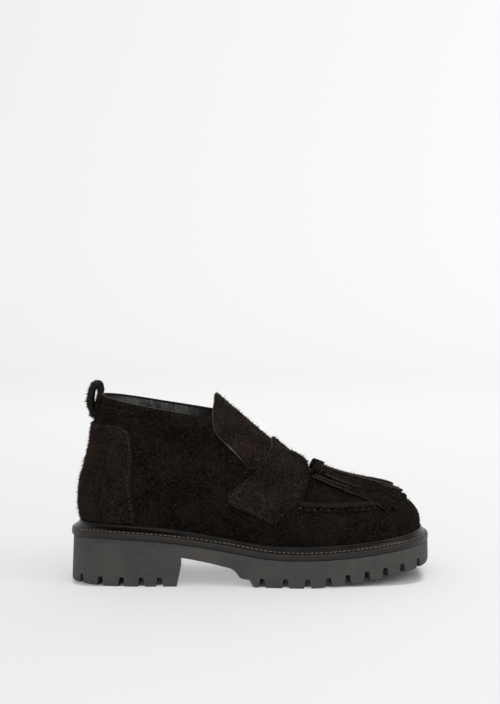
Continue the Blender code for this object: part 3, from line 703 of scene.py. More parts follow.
def smooth_line(corners, spacing=0.8):
    """A smooth curve through corners, with points at an even spacing."""
    ends = np.concatenate([[2 * corners[0] - corners[1]], corners, [2 * corners[-1] - corners[-2]]])
    curve = []
    for four in zip(ends[:-3], ends[1:-2], ends[2:-1], ends[3:]):
        spans = [max(np.linalg.norm(q - p), 1e-6) ** 0.5 for p, q in zip(four[:-1], four[1:])]
        knots = np.cumsum([0.0] + spans)
        for t in np.linspace(knots[1], knots[2], 12, endpoint=False):
            ab, bc, cd = [blend(t, knots[i], knots[i + 1], four[i], four[i + 1]) for i in range(3)]
            abc = blend(t, knots[0], knots[2], ab, bc)
            bcd = blend(t, knots[1], knots[3], bc, cd)
            curve.append(blend(t, knots[1], knots[2], abc, bcd))
    curve.append(corners[-1])
    return evenly(np.array(curve), spacing)


# %% Finding a side outline on the form
SIDE_VIEW = [0, 2]


def lifted(places, height):
    """The upper's points at places of turn and rise, raised by height."""
    turn, rise = places.T
    return upper_point(turn, rise, -height(turn, rise))


def slopes(places, height, here):
    """How a point moves with the turn and with the rise."""
    return [(lifted(places + move, height) - here) / NUDGE for move in NUDGE * np.eye(2)]


def locate(line, height, side):
    """The turn and rise of each side-view point, on the upper raised by height."""
    grid = np.meshgrid(np.linspace(*side, 90), np.linspace(0.0, 1.2, 90), indexing="ij")
    grid = np.stack(grid, axis=-1).reshape(-1, 2)
    near = lifted(grid, height)[:, SIDE_VIEW]
    place = grid[[int(np.argmin(((near - point) ** 2).sum(axis=1))) for point in line]]
    for _ in range(7):
        here = lifted(place, height)
        matrix = np.stack(slopes(place, height, here), axis=-1)[:, SIDE_VIEW] + 1e-6 * np.eye(2)
        step = np.linalg.solve(matrix, (line - here[:, SIDE_VIEW])[..., None])[..., 0]
        place = place + np.clip(step, -0.02, 0.02)
    return place


def to_middle(start, middle, axis, target, height):
    """Places from start to the middle line that keep one coordinate, x or z, at the target."""
    turn = np.linspace(start[0], middle, 26)[1:]
    rise = np.full(len(turn), start[1])
    for _ in range(12):
        at = np.stack([turn, rise], axis=1)
        here = lifted(at, height)
        slope = slopes(at, height, here)[1][:, axis]
        rise = rise + np.clip((target - here[:, axis]) / slope, -0.03, 0.03)
    return np.stack([turn, rise], axis=1)


def panel_outline(corners, height, at_back=False):
    """A closed outline in turn and rise; its first and last corners are on the middle line."""
    middle, side, axis = (0.0, (0.0, 0.30), 2) if at_back else (0.5, (0.19, 0.498), 0)
    corners = BED_LENGTH * np.array(corners)
    near = locate(smooth_line(corners[1:-1]), height, side)
    begin = to_middle(near[0], middle, axis, corners[0][axis // 2], height)[::-1]
    end = to_middle(near[-1], middle, axis, corners[-1][axis // 2], height)
    half = np.concatenate([begin, near, end])
    mirrored = half[::-1] * (-1, 1) + (2 * middle, 0)
    loop = np.concatenate([half, mirrored[1:-1], half[:1]])
    lengths = run_lengths(lifted(loop, height))
    at = np.linspace(0, lengths[-1], int(lengths[-1] / 0.9), endpoint=False)
    return np.stack([np.interp(at, lengths, column) for column in loop.T], axis=1)


# %% A panel's points
EDGE_INSETS = (0.22, 0.5, 0.95, 1.7)
EDGE_DROPS = (1.15, 0.55, 0.22, 0.05, 0.0)
FLAT_SCALE = np.array([430.0, 105.0])
FILL_GAP = 1.9


def winding_sign(loop):
    """1 for a loop that runs anticlockwise, and -1 for the other way."""
    ahead = np.roll(loop, -1, axis=0)
    return np.sign(np.sum(loop[:, 0] * ahead[:, 1] - loop[:, 1] * ahead[:, 0]))


def winding(points, loop):
    """Which points lie inside a closed loop."""
    inside = np.zeros(len(points), bool)
    for (ax, ay), (bx, by) in zip(loop, np.roll(loop, -1, axis=0)):
        crosses = (ay > points[:, 1]) != (by > points[:, 1])
        with np.errstate(divide="ignore", invalid="ignore"):
            at = (bx - ax) * (points[:, 1] - ay) / (by - ay) + ax
        inside ^= crosses & (points[:, 0] < at)
    return inside


def nearest(points, others):
    """Each point's distance to the nearest of some others."""
    return np.min(np.linalg.norm(points[:, None] - others[None], axis=2), axis=1)


def moved_in(places, height, distance):
    """The outline moved in over the surface by a distance in millimetres."""
    here = lifted(places, height)
    ahead = unit(np.roll(here, -1, axis=0) - np.roll(here, 1, axis=0))
    moves = slopes(places, height, here)
    inwards = np.cross(unit(np.cross(*moves)), ahead) * winding_sign(places)
    step = np.einsum("nij,nj->ni", np.linalg.pinv(np.stack(moves, axis=-1)), inwards)
    return places + distance * step


def filling(outer, loop):
    """Points inside a loop, laid out like bricks."""
    low, high = outer.min(axis=0), outer.max(axis=0)
    grid = np.meshgrid(*[np.arange(low[i], high[i], FILL_GAP) for i in range(2)], indexing="ij")
    inner = np.stack(grid, axis=-1)
    inner[::2, :, 1] += FILL_GAP / 2
    inner = inner.reshape(-1, 2)
    return inner[winding(inner, loop) & (nearest(inner, loop) > 1.1)]


# %% Panel
def panel(name, places, bottom, thickness, sag=None, pale=None):
    """A closed panel over the upper. Its cut edge is dark, or pale where pale(x, z) says so."""

    def top(turn, rise):
        return bottom(turn, rise) + thickness

    size = len(places)
    rings = [places] + [moved_in(places, top, inset) for inset in EDGE_INSETS]
    rings = [ring * FLAT_SCALE for ring in rings]
    flat = np.concatenate([*rings, filling(rings[0], rings[-1])])
    edges = [(i, (i + 1) % size) for i in range(size)]
    result = delaunay_2d_cdt([tuple(p) for p in flat], edges, [], 1, 1e-7, True)
    flat = np.array([tuple(p) for p in result[0]])
    triangles = result[2]
    source = np.array([ids[0] if ids else -1 for ids in result[3]])
    drop = np.zeros(len(flat))
    for ring, depth in enumerate(EDGE_DROPS):
        drop[(source >= ring * size) & (source < (ring + 1) * size)] = min(depth, 0.62 * thickness)
    spots = flat / FLAT_SCALE
    raised = top(*spots.T) - drop
    if sag is not None:
        raised = raised + sag(*spots.T) * smooth_step(nearest(flat, rings[0][::3]) / 3.0)
    over = upper_point(*spots.T, -raised)
    under = lifted(spots, bottom)
    count = len(flat)
    rim = [int(np.flatnonzero(source == i)[0]) for i in range(size)]
    at_edge = (source >= 0) & (source < 2 * size)
    faces = [list(face) for face in triangles]
    slots = [int(all(at_edge[corner] for corner in face)) for face in faces]
    faces += [[corner + count for corner in face][::-1] for face in triangles]
    slots += [0] * len(triangles) + [1] * size
    turned = 1 if winding_sign(flat[rim]) > 0 else -1
    for a, b in zip(rim, rim[1:] + rim[:1]):
        faces.append([b, a, a + count, b + count][::turned])
    if pale is not None:
        lit = [bool(pale(*over[face[0] % count][SIDE_VIEW])) for face in faces]
        slots = [2 if slot == 1 and shown else slot for slot, shown in zip(slots, lit)]
    looks = [panel_suede, dark_edge, cut_edge]
    return piece(name, np.concatenate([over, under]), faces, looks, slots, 50)


# %% [markdown]
# Each outline is traced from the side, as shares of the bed's length from the sole's middle and from the
# floor. The counter's runs down from the back seam, and the others begin and end on the front middle line.

# %% Side outlines of the panels
COUNTER = [(-0.60, 0.440), (-0.405, 0.442), (-0.372, 0.440), (-0.345, 0.432), (-0.331, 0.418)]
COUNTER += [(-0.327, 0.388), (-0.322, 0.360), (-0.329, 0.290), (-0.326, 0.237), (-0.315, 0.187)]
COUNTER += [(-0.3135, 0.1700)]
FLAP = [(-0.0935, 0.600), (-0.0935, 0.503), (-0.0965, 0.488), (-0.0980, 0.455), (-0.0955, 0.433)]
FLAP += [(-0.0870, 0.414), (-0.0731, 0.3985), (-0.0509, 0.382), (-0.0316, 0.3604), (-0.0124, 0.338)]
FLAP += [(0.0124, 0.3156), (0.036, 0.303), (0.070, 0.296), (0.098, 0.304), (0.106, 0.318)]
FLAP += [(0.107, 0.330), (0.107, 0.600)]
STRAP = [(0.0645, 0.520), (0.0658, 0.380), (0.0596, 0.3695), (0.0429, 0.3455), (0.0207, 0.3196)]
STRAP += [(-0.0015, 0.3022), (-0.0287, 0.280), (-0.0530, 0.2615), (-0.0612, 0.250), (-0.0610, 0.240)]
STRAP += [(-0.0560, 0.2313)]
STRAP += [(-0.0342, 0.2215), (-0.0015, 0.2051), (0.0313, 0.1869), (0.0480, 0.1785), (0.0600, 0.1762)]
STRAP += [(0.0730, 0.1790), (0.0833, 0.1869), (0.1080, 0.2116), (0.1302, 0.232), (0.1498, 0.2571)]
STRAP += [(0.1615, 0.2847), (0.1640, 0.2960), (0.1600, 0.3060), (0.1465, 0.3218), (0.1309, 0.3335)]
STRAP += [(0.1180, 0.3460), (0.1120, 0.520)]
TIE = [(0.1145, 0.520), (0.1165, 0.3500), (0.1330, 0.3360), (0.1480, 0.3245), (0.1600, 0.3100)]
TIE += [(0.1600, 0.520)]

# %% Heel counter, tongue flap and strap
COUNTER_THICKNESS = 1.3
FLAP_THICKNESS = 2.0
STRAP_THICKNESS = 1.9


def on_upper(turn, rise):
    return CLEARANCE + 0 * turn + 0 * rise


def above_upper(thickness):
    return lambda turn, rise: on_upper(turn, rise) + thickness


def strap_floor(turn, rise):
    """The strap lies on the vamp at its ends and rides over the flap on top."""
    height = surface(turn, rise)[..., 2] / SIDE_HEIGHT
    return 2 * CLEARANCE + 2.3 * smooth_step((height - 0.486) / 0.054) + np.clip(apron(turn, rise), 0, 1.5)


def strap_top(turn, rise):
    return strap_floor(turn, rise) + STRAP_THICKNESS


def strap_pale(x, z):
    return x < (20 if z > 66 else -6)


counter_line = panel_outline(COUNTER, above_upper(COUNTER_THICKNESS), at_back=True)
flap_line = panel_outline(FLAP, above_upper(FLAP_THICKNESS))
strap_line = panel_outline(STRAP, strap_top)
print("outline points", len(counter_line), len(flap_line), len(strap_line))
counter = panel("counter_panel", counter_line, on_upper, COUNTER_THICKNESS)
dress(counter, "heel_counter")
flap = panel("flap_panel", flap_line, on_upper, FLAP_THICKNESS, pale=lambda x, z: x < 0)
dress(flap, "tongue_flap")
strap = panel("strap_panel", strap_line, strap_floor, STRAP_THICKNESS, pale=strap_pale)
dress(strap, "saddle_strap")

# %% [markdown]
# ## Tie and tassels
#
# A short folded tie comes out from under the strap and holds two tassels. A tassel is one piece of suede:
# it is slit into strips, its solid end is rolled up tight into a head, and a row of stitches holds the
# roll. The strips lie on the vamp, spread a little and curl. Each strip is a ribbon swept along the vamp
# with its own tilt and lift, so that they cross over one another as they do on the shoe.

# %% Tie
TIE_THICKNESS = 3.7
tie_line = panel_outline(TIE, above_upper(4.5))


def tie_fold(turn, rise):
    """Raised in the middle, with a crease to each side of it."""
    side = np.abs(turn - 0.5)
    crease = bell(side, 0.03, 0.008) + bell(side, 0.052, 0.008)
    return 2.0 - 108 * side**2 - 0.7 * crease


tie = panel("tassel_tie_fold", tie_line, on_upper, TIE_THICKNESS, sag=tie_fold)
dress(tie, "tassel_tie")

# %% A strip of a tassel
# start and end across the vamp, rise of the tip, height at both ends, tilt at the tip, half width
STRIPS = [
    (0.083, 0.088, 0.222, 2.6, 4.2, 36.0, 5.0),
    (0.076, 0.072, 0.212, 3.6, 4.8, 32.0, 4.8),
    (0.064, 0.050, 0.222, 4.2, 3.8, 20.0, 4.6),
    (0.054, 0.028, 0.246, 3.0, 2.6, 4.0, 4.4),
    (0.071, 0.060, 0.262, 6.2, 5.2, 26.0, 4.4),
    (0.058, 0.036, 0.325, 5.8, 4.0, 10.0, 4.0),
]
STEPS = 36
HALF_SECTION = [(-1.0, 0.0), (-0.93, 0.8), (-0.5, 1.0), (0.0, 1.05), (0.5, 1.0), (0.93, 0.8)]
SECTION = HALF_SECTION + [(1.0, 0.0), (0.93, -0.8), (0.5, -1.0), (0.0, -0.95), (-0.5, -1.0), (-0.93, -0.8)]
NARROW_SIDES = (0, 5, 6, 11)
HEAD_TURN = 0.066
HEAD_RISE = 0.580
HEAD_LENGTH = 9.5
HEAD_RADIUS = 4.5
NEAR_HEAD_SIZE = 1.16


def frame_at(turn, rise, depth):
    """Points over the vamp with the directions forward, across and out."""
    point = upper_point(turn, rise, depth)
    normal = unit(upper_point(turn, rise, depth - 1.0) - point)
    ahead = unit(np.gradient(point, axis=0))
    return point, ahead, np.cross(normal, ahead), normal


def rows_with_ends(count, size):
    """Faces through rows of points, with the first and the last row closed."""
    faces = grid_faces(count, size, closed_rows=False)
    return faces + [list(range(size))[::-1], [(count - 1) * size + j for j in range(size)]]


def strip_mesh(number, side, shorten, start, end, tip, low_end, high_end, tilt, broad):
    """One strip: a thin section swept from the head to the tip."""
    steps = np.linspace(0, 1, STEPS)
    turn = 0.5 - side * (start + (end - start) * steps + 0.0022 * np.sin(3.6 * steps + 1.7 * number))
    rise = HEAD_RISE + 0.004 + (tip + shorten * (number % 3 - 1) - HEAD_RISE) * steps
    wave = 0.28 * np.sin(7.5 * steps + 2.1 * number) * steps
    height = low_end + (high_end - low_end) * steps**0.7 + 0.25 * number * (1 - steps) + wave
    point, ahead, across, normal = frame_at(turn, rise, -height)
    lean = np.radians(side * (tilt * steps + 5.0 * np.sin(4.0 * steps + number) * steps))[:, None]
    wide = np.cos(lean) * across + np.sin(lean) * normal
    thick = np.cross(ahead, wide)
    half = broad * (0.5 + 0.5 * smooth_step(steps * 2.0))[:, None]
    lines = []
    for x, y in SECTION:
        uneven = 0.12 * np.sin(31 * steps + 9 * x + number)[:, None] * (abs(x) > 0.9)
        cup = 0.35 * (x * x - 0.4) * smooth_step(steps * 3)[:, None]
        end_cut = np.zeros((STEPS, 1))
        end_cut[-1] = 0.35 * math.sin(5 * x + 2 * number) + 0.3 * x * (-1) ** number
        lines.append(point + (x * half + uneven) * wide + (0.85 * y + cup) * thick + end_cut * ahead)
    return np.stack(lines, axis=1).reshape(-1, 3), rows_with_ends(STEPS, len(SECTION))


# %% A tassel's head
HEAD_WIDENED = 1.12
HEAD_ROWS = [(0.0, 0.35), (0.0, 0.78), (0.03, 0.9), (0.1, 0.98), (0.28, 1.0), (0.5, 1.01)]
HEAD_ROWS += [(0.58, 0.95), (0.66, 1.01), (0.85, 0.99), (0.97, 0.95), (1.0, 0.86), (1.0, 0.4)]
STITCHED_ROW = 6


def head_mesh(side, size_up):
    """The rolled head: a spiral of suede, closed at both ends."""
    turn = 0.5 - side * HEAD_TURN + np.zeros(2)
    rise = HEAD_RISE + 0.030 - 0.09 * np.array([0.0, 1.0])
    point, ahead, across, normal = frame_at(turn, rise, -(HEAD_RADIUS * size_up + 0.6) + np.zeros(2))
    angles = np.linspace(0, 2 * math.pi, 40, endpoint=False)
    rows = []
    for place, swell in HEAD_ROWS:
        spiral = 1 - 0.10 * smooth_step((angles - 5.6) / 0.6) + 0.02 * np.sin(5 * angles + 9 * place)
        radius = (swell * HEAD_RADIUS * size_up * spiral)[:, None]
        around = np.cos(angles)[:, None] * across[0] * HEAD_WIDENED + np.sin(angles)[:, None] * normal[0]
        rows.append(point[0] + place * HEAD_LENGTH * ahead[0] + radius * around)
    return np.concatenate(rows), rows_with_ends(len(rows), len(angles)), rows[STITCHED_ROW]


# %% Both tassels
head_stitches = []
for name, side, shorten in (("tassel_outer", 1, 0.006), ("tassel_inner", -1, -0.006)):
    points, faces, ring = head_mesh(side, NEAR_HEAD_SIZE if side > 0 else 1.0)
    head_stitches.append(ring)
    parts = [(points, faces)] + [strip_mesh(n, side, shorten, *row) for n, row in enumerate(STRIPS)]
    all_points, all_faces, slots, start = [], [], [], 0
    for number, (some_points, some_faces) in enumerate(parts):
        all_points.append(some_points)
        all_faces += [[corner + start for corner in face] for face in some_faces]
        start += len(some_points)
        for face in range(len(some_faces)):
            narrow = face >= (STEPS - 1) * len(SECTION) or face % len(SECTION) in NARROW_SIDES
            slots.append(int(number > 0 and narrow))
    looks = [tassel_suede, strip_edge]
    made = piece(name + "_strips", np.concatenate(all_points), all_faces, looks, slots, 55)
    dress(made, name)


# %% [markdown]
# ## Pull loop
#
# The loop at the heel is one strip of suede, folded over and sewn to the back of the collar. In section it
# is a ring: an outer line and an inner line, swept across its width, with the edges a little thinner.

# %% Pull loop
LOOP_WIDTH = 19.0
LOOP_POINTS = 72
LOOP_COLUMNS = [-1.0, -0.985, -0.93, -0.7, -0.35, 0.0, 0.35, 0.7, 0.93, 0.985, 1.0]
BACK_FULLNESS = 0.358
LOOP_OUTER = [(0.885, 0.4), (0.940, 0.4), (1.000, 0.4), (1.038, 1.2), (1.066, 3.6), (1.074, 6.8)]
LOOP_OUTER += [(1.052, 9.2), (0.985, 9.9), (0.945, 8.6), (0.918, 6.3), (0.900, 4.6), (0.885, 3.7)]
LOOP_INNER = [(0.915, 2.5), (0.940, 2.5), (1.000, 2.6), (1.020, 3.1), (1.038, 4.5), (1.043, 5.8)]
LOOP_INNER += [(1.030, 7.0), (0.985, 7.5), (0.958, 6.6), (0.938, 5.0), (0.925, 3.7), (0.916, 2.9)]


def loop_section(table):
    """The section's points, smoothed in millimetres and set at an even spacing."""
    line = evenly(smooth_line(np.array(table) * (UPPER_HEIGHT, 1.0), 0.25), 0.2)
    at = np.linspace(0, len(line) - 1, LOOP_POINTS)
    section = np.stack([np.interp(at, np.arange(len(line)), column) for column in line.T], axis=1)
    return section / (UPPER_HEIGHT, 1.0)


# %% The loop's points and faces
outer_line, inner_line = loop_section(LOOP_OUTER), loop_section(LOOP_INNER)
middle = (outer_line + inner_line) / 2
half_turn = LOOP_WIDTH / 2 / (BALL_WIDTH * BACK_FULLNESS) / (2 * math.pi)
points, faces, slots = [], [], []
size, last = LOOP_POINTS, len(LOOP_COLUMNS) - 1
for column in LOOP_COLUMNS:
    thin = max(0.0, (abs(column) - 0.9) / 0.1) ** 2 * 0.3
    for line in (outer_line, inner_line):
        at = line + (middle - line) * thin
        points.append(upper_point(column * half_turn + 0 * at[:, 0], at[:, 0], -at[:, 1]))
for i in range(last + 1):
    start = 2 * size * i
    for j in range(size):
        a, b = start + j, start + (j + 1) % size
        if i < last:
            faces += [[a, b, b + 2 * size, a + 2 * size], [b + size, a + size, a + 3 * size, b + 3 * size]]
            slots += [int(i in (0, last - 1))] * 2
        if i == 0:
            faces.append([b, a, a + size, b + size])
            slots.append(1)
        if i == last:
            faces.append([a, b, b + size, a + size])
            slots.append(1)
loop = piece("heel_loop", np.concatenate(points), faces, [panel_suede, dark_edge], slots, 60)
dress(loop, "pull_loop")

# %% [markdown]
# ## Welt
#
# The welt is the strip of leather that joins the upper to the sole. Its land slopes out from the upper, its
# edge is cut square, and a rolled bead closes the gap to the suede. Its section is swept round the sole's
# outline, because one table of points then gives the bead, the channel and the edge at once. The row of
# stitches lies in a shallow channel close to the edge.

# %% The welt's lines
AROUND_SOLE = 360
EDGE_ROUNDING = 0.7
CHANNEL_END = 2.4
STITCH_INSET = 1.55
turns = np.arange(AROUND_SOLE) / AROUND_SOLE
edge, _ = outline(turns)
low, high = surface(turns, 0.0), surface(turns, 0.02)
out = unit(edge - low[:, :2])
rim, seat = bed(edge[:, 0]), bed(low[:, 0])


def level(points, height):
    return np.concatenate([points, (height + np.zeros(len(points)))[:, None]], axis=1)


bottom = rim - WELT_DROP - WELT_EDGE
inside = low[:, :2] - LAP * out
inside_bed = bed(inside[:, 0])
bead_foot = high[:, :2] + 2.3 * out
land = np.sum((edge - bead_foot) * out, axis=1)


def on_land(reach):
    """The points of the land, reach in from the edge, and their height."""
    share = (reach - EDGE_ROUNDING) / (land - EDGE_ROUNDING)
    return edge - reach[:, None] * out, (rim - WELT_DROP) * (1 - share) + (seat - 1.5) * share


# %% Welt
section = [level(inside, inside_bed - WELT_DROP - WELT_EDGE)]
for reach, height in ((0.6, bottom), (0.2, bottom + 0.25), (0.1, bottom + 0.8)):
    section.append(level(edge - reach * out, height))
for reach, down in ((0.1, 0.9), (0.25, 0.35)):
    section.append(level(edge - reach * out, rim - WELT_DROP - down))
land_lines = [(EDGE_ROUNDING, 0.0), (1.1, 0.04), (1.35, 0.28), (1.75, 0.3), (2.0, 0.05), (CHANNEL_END, 0.0)]
for reach, sink in land_lines:
    spot, height = on_land(np.full(AROUND_SOLE, reach))
    section.append(level(spot, height - sink))
for share in (0.4, 0.7, 0.9):
    spot, height = on_land(CHANNEL_END + (land - CHANNEL_END) * share)
    section.append(level(spot, height))
bead = [(2.3, -1.5), (2.35, -0.9), (2.2, -0.2), (1.8, 0.4), (1.2, 0.7), (0.7, 0.5), (0.4, 0.1)]
for reach, height in bead:
    section.append(level(high[:, :2] + reach * out, seat + height))
section += [level(low[:, :2] + 0.35 * out, seat - LEDGE), level(inside, inside_bed - LEDGE)]
on_edge = np.repeat([int(1 <= i <= 4) for i in range(len(section))], AROUND_SOLE)
faces = grid_faces(len(section), AROUND_SOLE)
welt = piece("welt_strip", np.concatenate(section), faces, [welt_leather, welt_edge_painted_highlight], on_edge, 50)
dress(welt, "welt")
stitch_spot, stitch_height = on_land(np.full(AROUND_SOLE, STITCH_INSET))
welt_path = level(stitch_spot, stitch_height - 0.1)

# %% [markdown]
# ## Outsole
#
# The outsole is one rubber moulding. A smooth block follows the outline, and its underside is cut to the
# profile of heel, arch and forefoot. Then the slots between the lugs, the grooves across the tread and the
# channels along it are cut out with Booleans, as the ribs of the mould do. The grooves stop short of the
# middle, where a narrow bar ties the lugs together.

# %% The outsole's underside, and cutting with Booleans
UNDERSIDE = [(-0.203, 0.000), (-0.203, 0.400), (-0.200, 0.455), (-0.192, 0.478), (-0.165, 0.452)]
UNDERSIDE += [(-0.110, 0.384), (-0.055, 0.306), (-0.045, 0.270), (-0.037, 0.215), (-0.031, 0.160)]
UNDERSIDE += [(-0.022, 0.135), (-0.004, 0.122), (0.006, 0.020), (0.010, 0.000), (0.140, 0.000)]
UNDERSIDE += [(0.180, 0.008), (0.219, 0.026), (0.258, 0.058), (0.300, 0.086), (0.360, 0.128)]
UNDERSIDE += [(0.420, 0.167), (0.470, 0.202), (0.493, 0.222), (0.503, 0.270), (0.511, 0.420)]
HEEL_SLOTS = (-0.470, -0.415, -0.355, -0.300, -0.250)
BALL_SLOTS = (0.031, 0.094, 0.154, 0.211, 0.264, 0.317, 0.369, 0.418, 0.467)


def cutter(name, shapes):
    """Closed shapes as one mesh, with their faces turned outwards."""

    def build(shape):
        for points, faces in shapes:
            corners = [shape.verts.new(point) for point in np.asarray(points) / 1000]
            for face in faces:
                shape.faces.new([corners[i] for i in face])
        bmesh.ops.recalc_face_normals(shape, faces=shape.faces)

    mesh = bpy.data.meshes.new(name)
    reshape(mesh, build)
    return linked(name, mesh)


def block(corners):
    """Eight corners, four and four, as a closed box."""
    faces = [[0, 1, 2, 3], [4, 5, 6, 7]] + [[i, (i + 1) % 4, (i + 1) % 4 + 4, i + 4] for i in range(4)]
    return np.asarray(corners).reshape(8, 3), faces


def bake_modifiers(made):
    """Turns an object and its modifiers into a plain mesh."""
    bpy.context.view_layer.update()
    plain = bpy.data.meshes.new_from_object(made.evaluated_get(bpy.context.evaluated_depsgraph_get()))
    made.modifiers.clear()
    made.data = plain


def cut_away(made, tools):
    """Cuts the tools out of a mesh, one after another, and drops them."""
    for tool in tools:
        modifier = made.modifiers.new(tool.name, "BOOLEAN")
        modifier.operation = "DIFFERENCE"
        modifier.solver = "EXACT"
        modifier.object = tool
    bake_modifiers(made)
    for tool in tools:
        bpy.data.objects.remove(tool)


# %% The outsole's block
BLOCK_FOOT = 0.06 * HEEL_LIFT
TOP_EDGE = 1.4
profile = BED_LENGTH * np.array([x for x, _ in UNDERSIDE])
heights = HEEL_LIFT * np.array([z for _, z in UNDERSIDE])
top = rim - WELT_DROP - WELT_EDGE - CLEARANCE
flare = 0.4 + 1.1 * smooth_step(-edge[:, 0] / (0.25 * LENGTH))
plateau = low[:, :2] - (LAP + 0.4) * out
rows = [level(edge, -0.2 * HEEL_LIFT), level(edge, BLOCK_FOOT)]
for share in (0.3, 0.6, 0.85):
    rows.append(level(outline(turns, flare * share)[0], BLOCK_FOOT * (1 - share) + (top - TOP_EDGE) * share))
for inset, down in ((0.0, TOP_EDGE), (0.15, 0.7), (0.45, 0.2), (1.0, 0.0)):
    rows.append(level(outline(turns, flare + inset)[0], top - down))
for down in (WELT_DROP + WELT_EDGE + CLEARANCE, LEDGE):
    rows.append(level(plateau, bed(plateau[:, 0]) - down))
faces = grid_faces(len(rows), AROUND_SOLE, closed_rows=False)
for base in (0, (len(rows) - 1) * AROUND_SOLE):
    for j in range(AROUND_SOLE // 2):
        ring = [j, j + 1, (AROUND_SOLE - j - 1) % AROUND_SOLE, (AROUND_SOLE - j) % AROUND_SOLE]
        ring = list(dict.fromkeys(ring))
        faces.append([corner + base for corner in (ring if base else ring[::-1])])
outsole = piece("outsole_moulding", np.concatenate(rows), faces, [rubber], None, 35)

# %% The cut under the sole
BESIDE = 90.0
BEYOND = 0.7 * LENGTH
below = [(-BEYOND, 0), *zip(profile, heights), (BEYOND, heights[-1]), (BEYOND, -HEEL_LIFT)]
below.append((-BEYOND, -HEEL_LIFT))
near = [(x, -BESIDE, z) for x, z in below]
far = [(x, BESIDE, z) for x, z in below]
count = len(below)
sides = [[i, i + count, (i + 1) % count + count, (i + 1) % count] for i in range(count)]
prism = (near + far, [list(range(count)), list(range(2 * count - 1, count - 1, -1))] + sides)

# %% Slots and grooves of the tread
UNDER = -4.0
TIE_BAR = 4.0
GROOVE_DEPTH = 4.2


def turn_at(share):
    """The turn of the outline's point at a share of the bed's length."""
    return np.arccos(-2 * share * BED_LENGTH / LENGTH) / (2 * math.pi)


slots, grooves = [], []
for share in HEEL_SLOTS + BALL_SLOTS:
    turn = float(turn_at(share))
    ground = float(np.interp(BED_LENGTH * share, profile, heights)) if share > 0 else 0.0
    ends = []
    for place in (turn, 1 - turn):
        point, outward = outline(np.array([place]))
        point, outward = point[0], outward[0]
        sideways = np.array([-outward[1], outward[0]])
        ends.append(point - (SLOT_REACH - 0.5) * outward)
        corners = []
        for reach in (4.0, -SLOT_REACH):
            for aside, height in ((-0.62, UNDER), (0.62, UNDER), (0.29, LUG_DEPTH), (-0.29, LUG_DEPTH)):
                corners.append([*(point + reach * outward + aside * SLOT_WIDTH * sideways), ground + height])
        slots.append(block(corners))
    if abs(share) > 0.45:
        continue
    middle = (ends[0] + ends[1]) / 2
    for end in ends:
        inner_end = middle + (end - middle) * TIE_BAR / np.linalg.norm(end - middle)
        corners = []
        for spot in (end, inner_end):
            for shift, height in ((-2.6, UNDER), (2.6, UNDER), (1.8, GROOVE_DEPTH), (-1.8, GROOVE_DEPTH)):
                corners.append([spot[0] + shift, spot[1], ground + height])
        grooves.append(block(corners))
print(len(slots), "slots and", len(grooves), "grooves")

# %% Channels of the tread
CHANNEL_DEPTH = 4.9
CHANNEL_INSET = 17.0
channels = []
for first, last in ((-0.432, -0.235), (0.016, 0.400)):
    for side in (-1, 1):
        shares = np.linspace(first, last, 25)
        place = turn_at(shares) if side < 0 else 1 - turn_at(shares)
        point, outward = outline(place, CHANNEL_INSET + 0 * place)
        ground = np.where(shares > 0, np.interp(BED_LENGTH * shares, profile, heights), 0)
        lines = []
        for reach, height in ((-2.4, UNDER), (2.4, UNDER), (1.7, CHANNEL_DEPTH), (-1.7, CHANNEL_DEPTH)):
            lines.append(level(point + reach * outward, ground + height))
        channels.append((np.stack(lines, axis=1).reshape(-1, 3), rows_with_ends(len(shares), 4)))


# %% Cutting the tread
SLIVER = 2e-5


def drop_slivers(shape):
    bmesh.ops.remove_doubles(shape, verts=shape.verts, dist=SLIVER)
    bmesh.ops.dissolve_degenerate(shape, edges=shape.edges, dist=SLIVER)


cuts = {"underside": [prism], "slots": slots, "grooves": grooves, "channels": channels}
cut_away(outsole, [cutter(name, shapes) for name, shapes in cuts.items()])
reshape(outsole.data, drop_slivers)
smooth(outsole.data, 32)
print("outsole", len(outsole.data.polygons), "faces")
dress(outsole, "outsole")

# %% [markdown]
# ## Insole
#
# Inside lies the sock, a thin cover of black leather over a soft board. It is slightly crowned and rises a
# little to the sides. Its outline is drawn in towards the centreline in a few steps, which makes its top
# a smooth dish without a seam.

# %% Insole
AROUND_SOCK = 200
SOCK_EDGE = 1.2
DRAWN_IN = 0.9999
CROWN = [(0.02, 1.65), (0.05, 1.85), (0.1, 1.9), (0.2, 1.86), (0.35, 1.8), (0.55, 1.8), (0.8, 1.85)]
CROWN += [(DRAWN_IN, 1.85)]
turns = np.arange(AROUND_SOCK) / AROUND_SOCK
step_out = unit(outline(turns)[0] - surface(turns, 0.0)[:, :2])
foot = upper_point(turns, 0 * turns, WALL)[:, :2] - 0.6 * step_out
side = upper_point(turns, 0 * turns + 0.015, WALL)[:, :2] - 0.9 * step_out


def drawn_in(plan, share):
    """The plan drawn in towards the centreline."""
    x = plan[:, 0] * (1 - 0.14 * share)
    middle = swing(x)
    return np.stack([x, middle + (plan[:, 1] - swing(plan[:, 0])) * (1 - share)], axis=1)


rows = []
for share in (DRAWN_IN, 0.6, 0.3):
    plan = drawn_in(foot, share)
    rows.append(level(plan, bed(plan[:, 0]) - LEDGE + CLEARANCE))
for up in (0.0, SOCK_EDGE):
    rows.append(level(foot, bed(foot[:, 0]) - LEDGE + CLEARANCE + up))
rows.append(level(side, bed(side[:, 0]) + SOCK_EDGE))
for share, crown in CROWN:
    plan = drawn_in(side, share)
    rows.append(level(plan, bed(plan[:, 0]) + crown))
faces = grid_faces(len(rows), AROUND_SOCK, closed_rows=False)
insole = piece("sock", np.concatenate(rows), faces, [sock_leather], None, 60)
dress(insole, "insole")

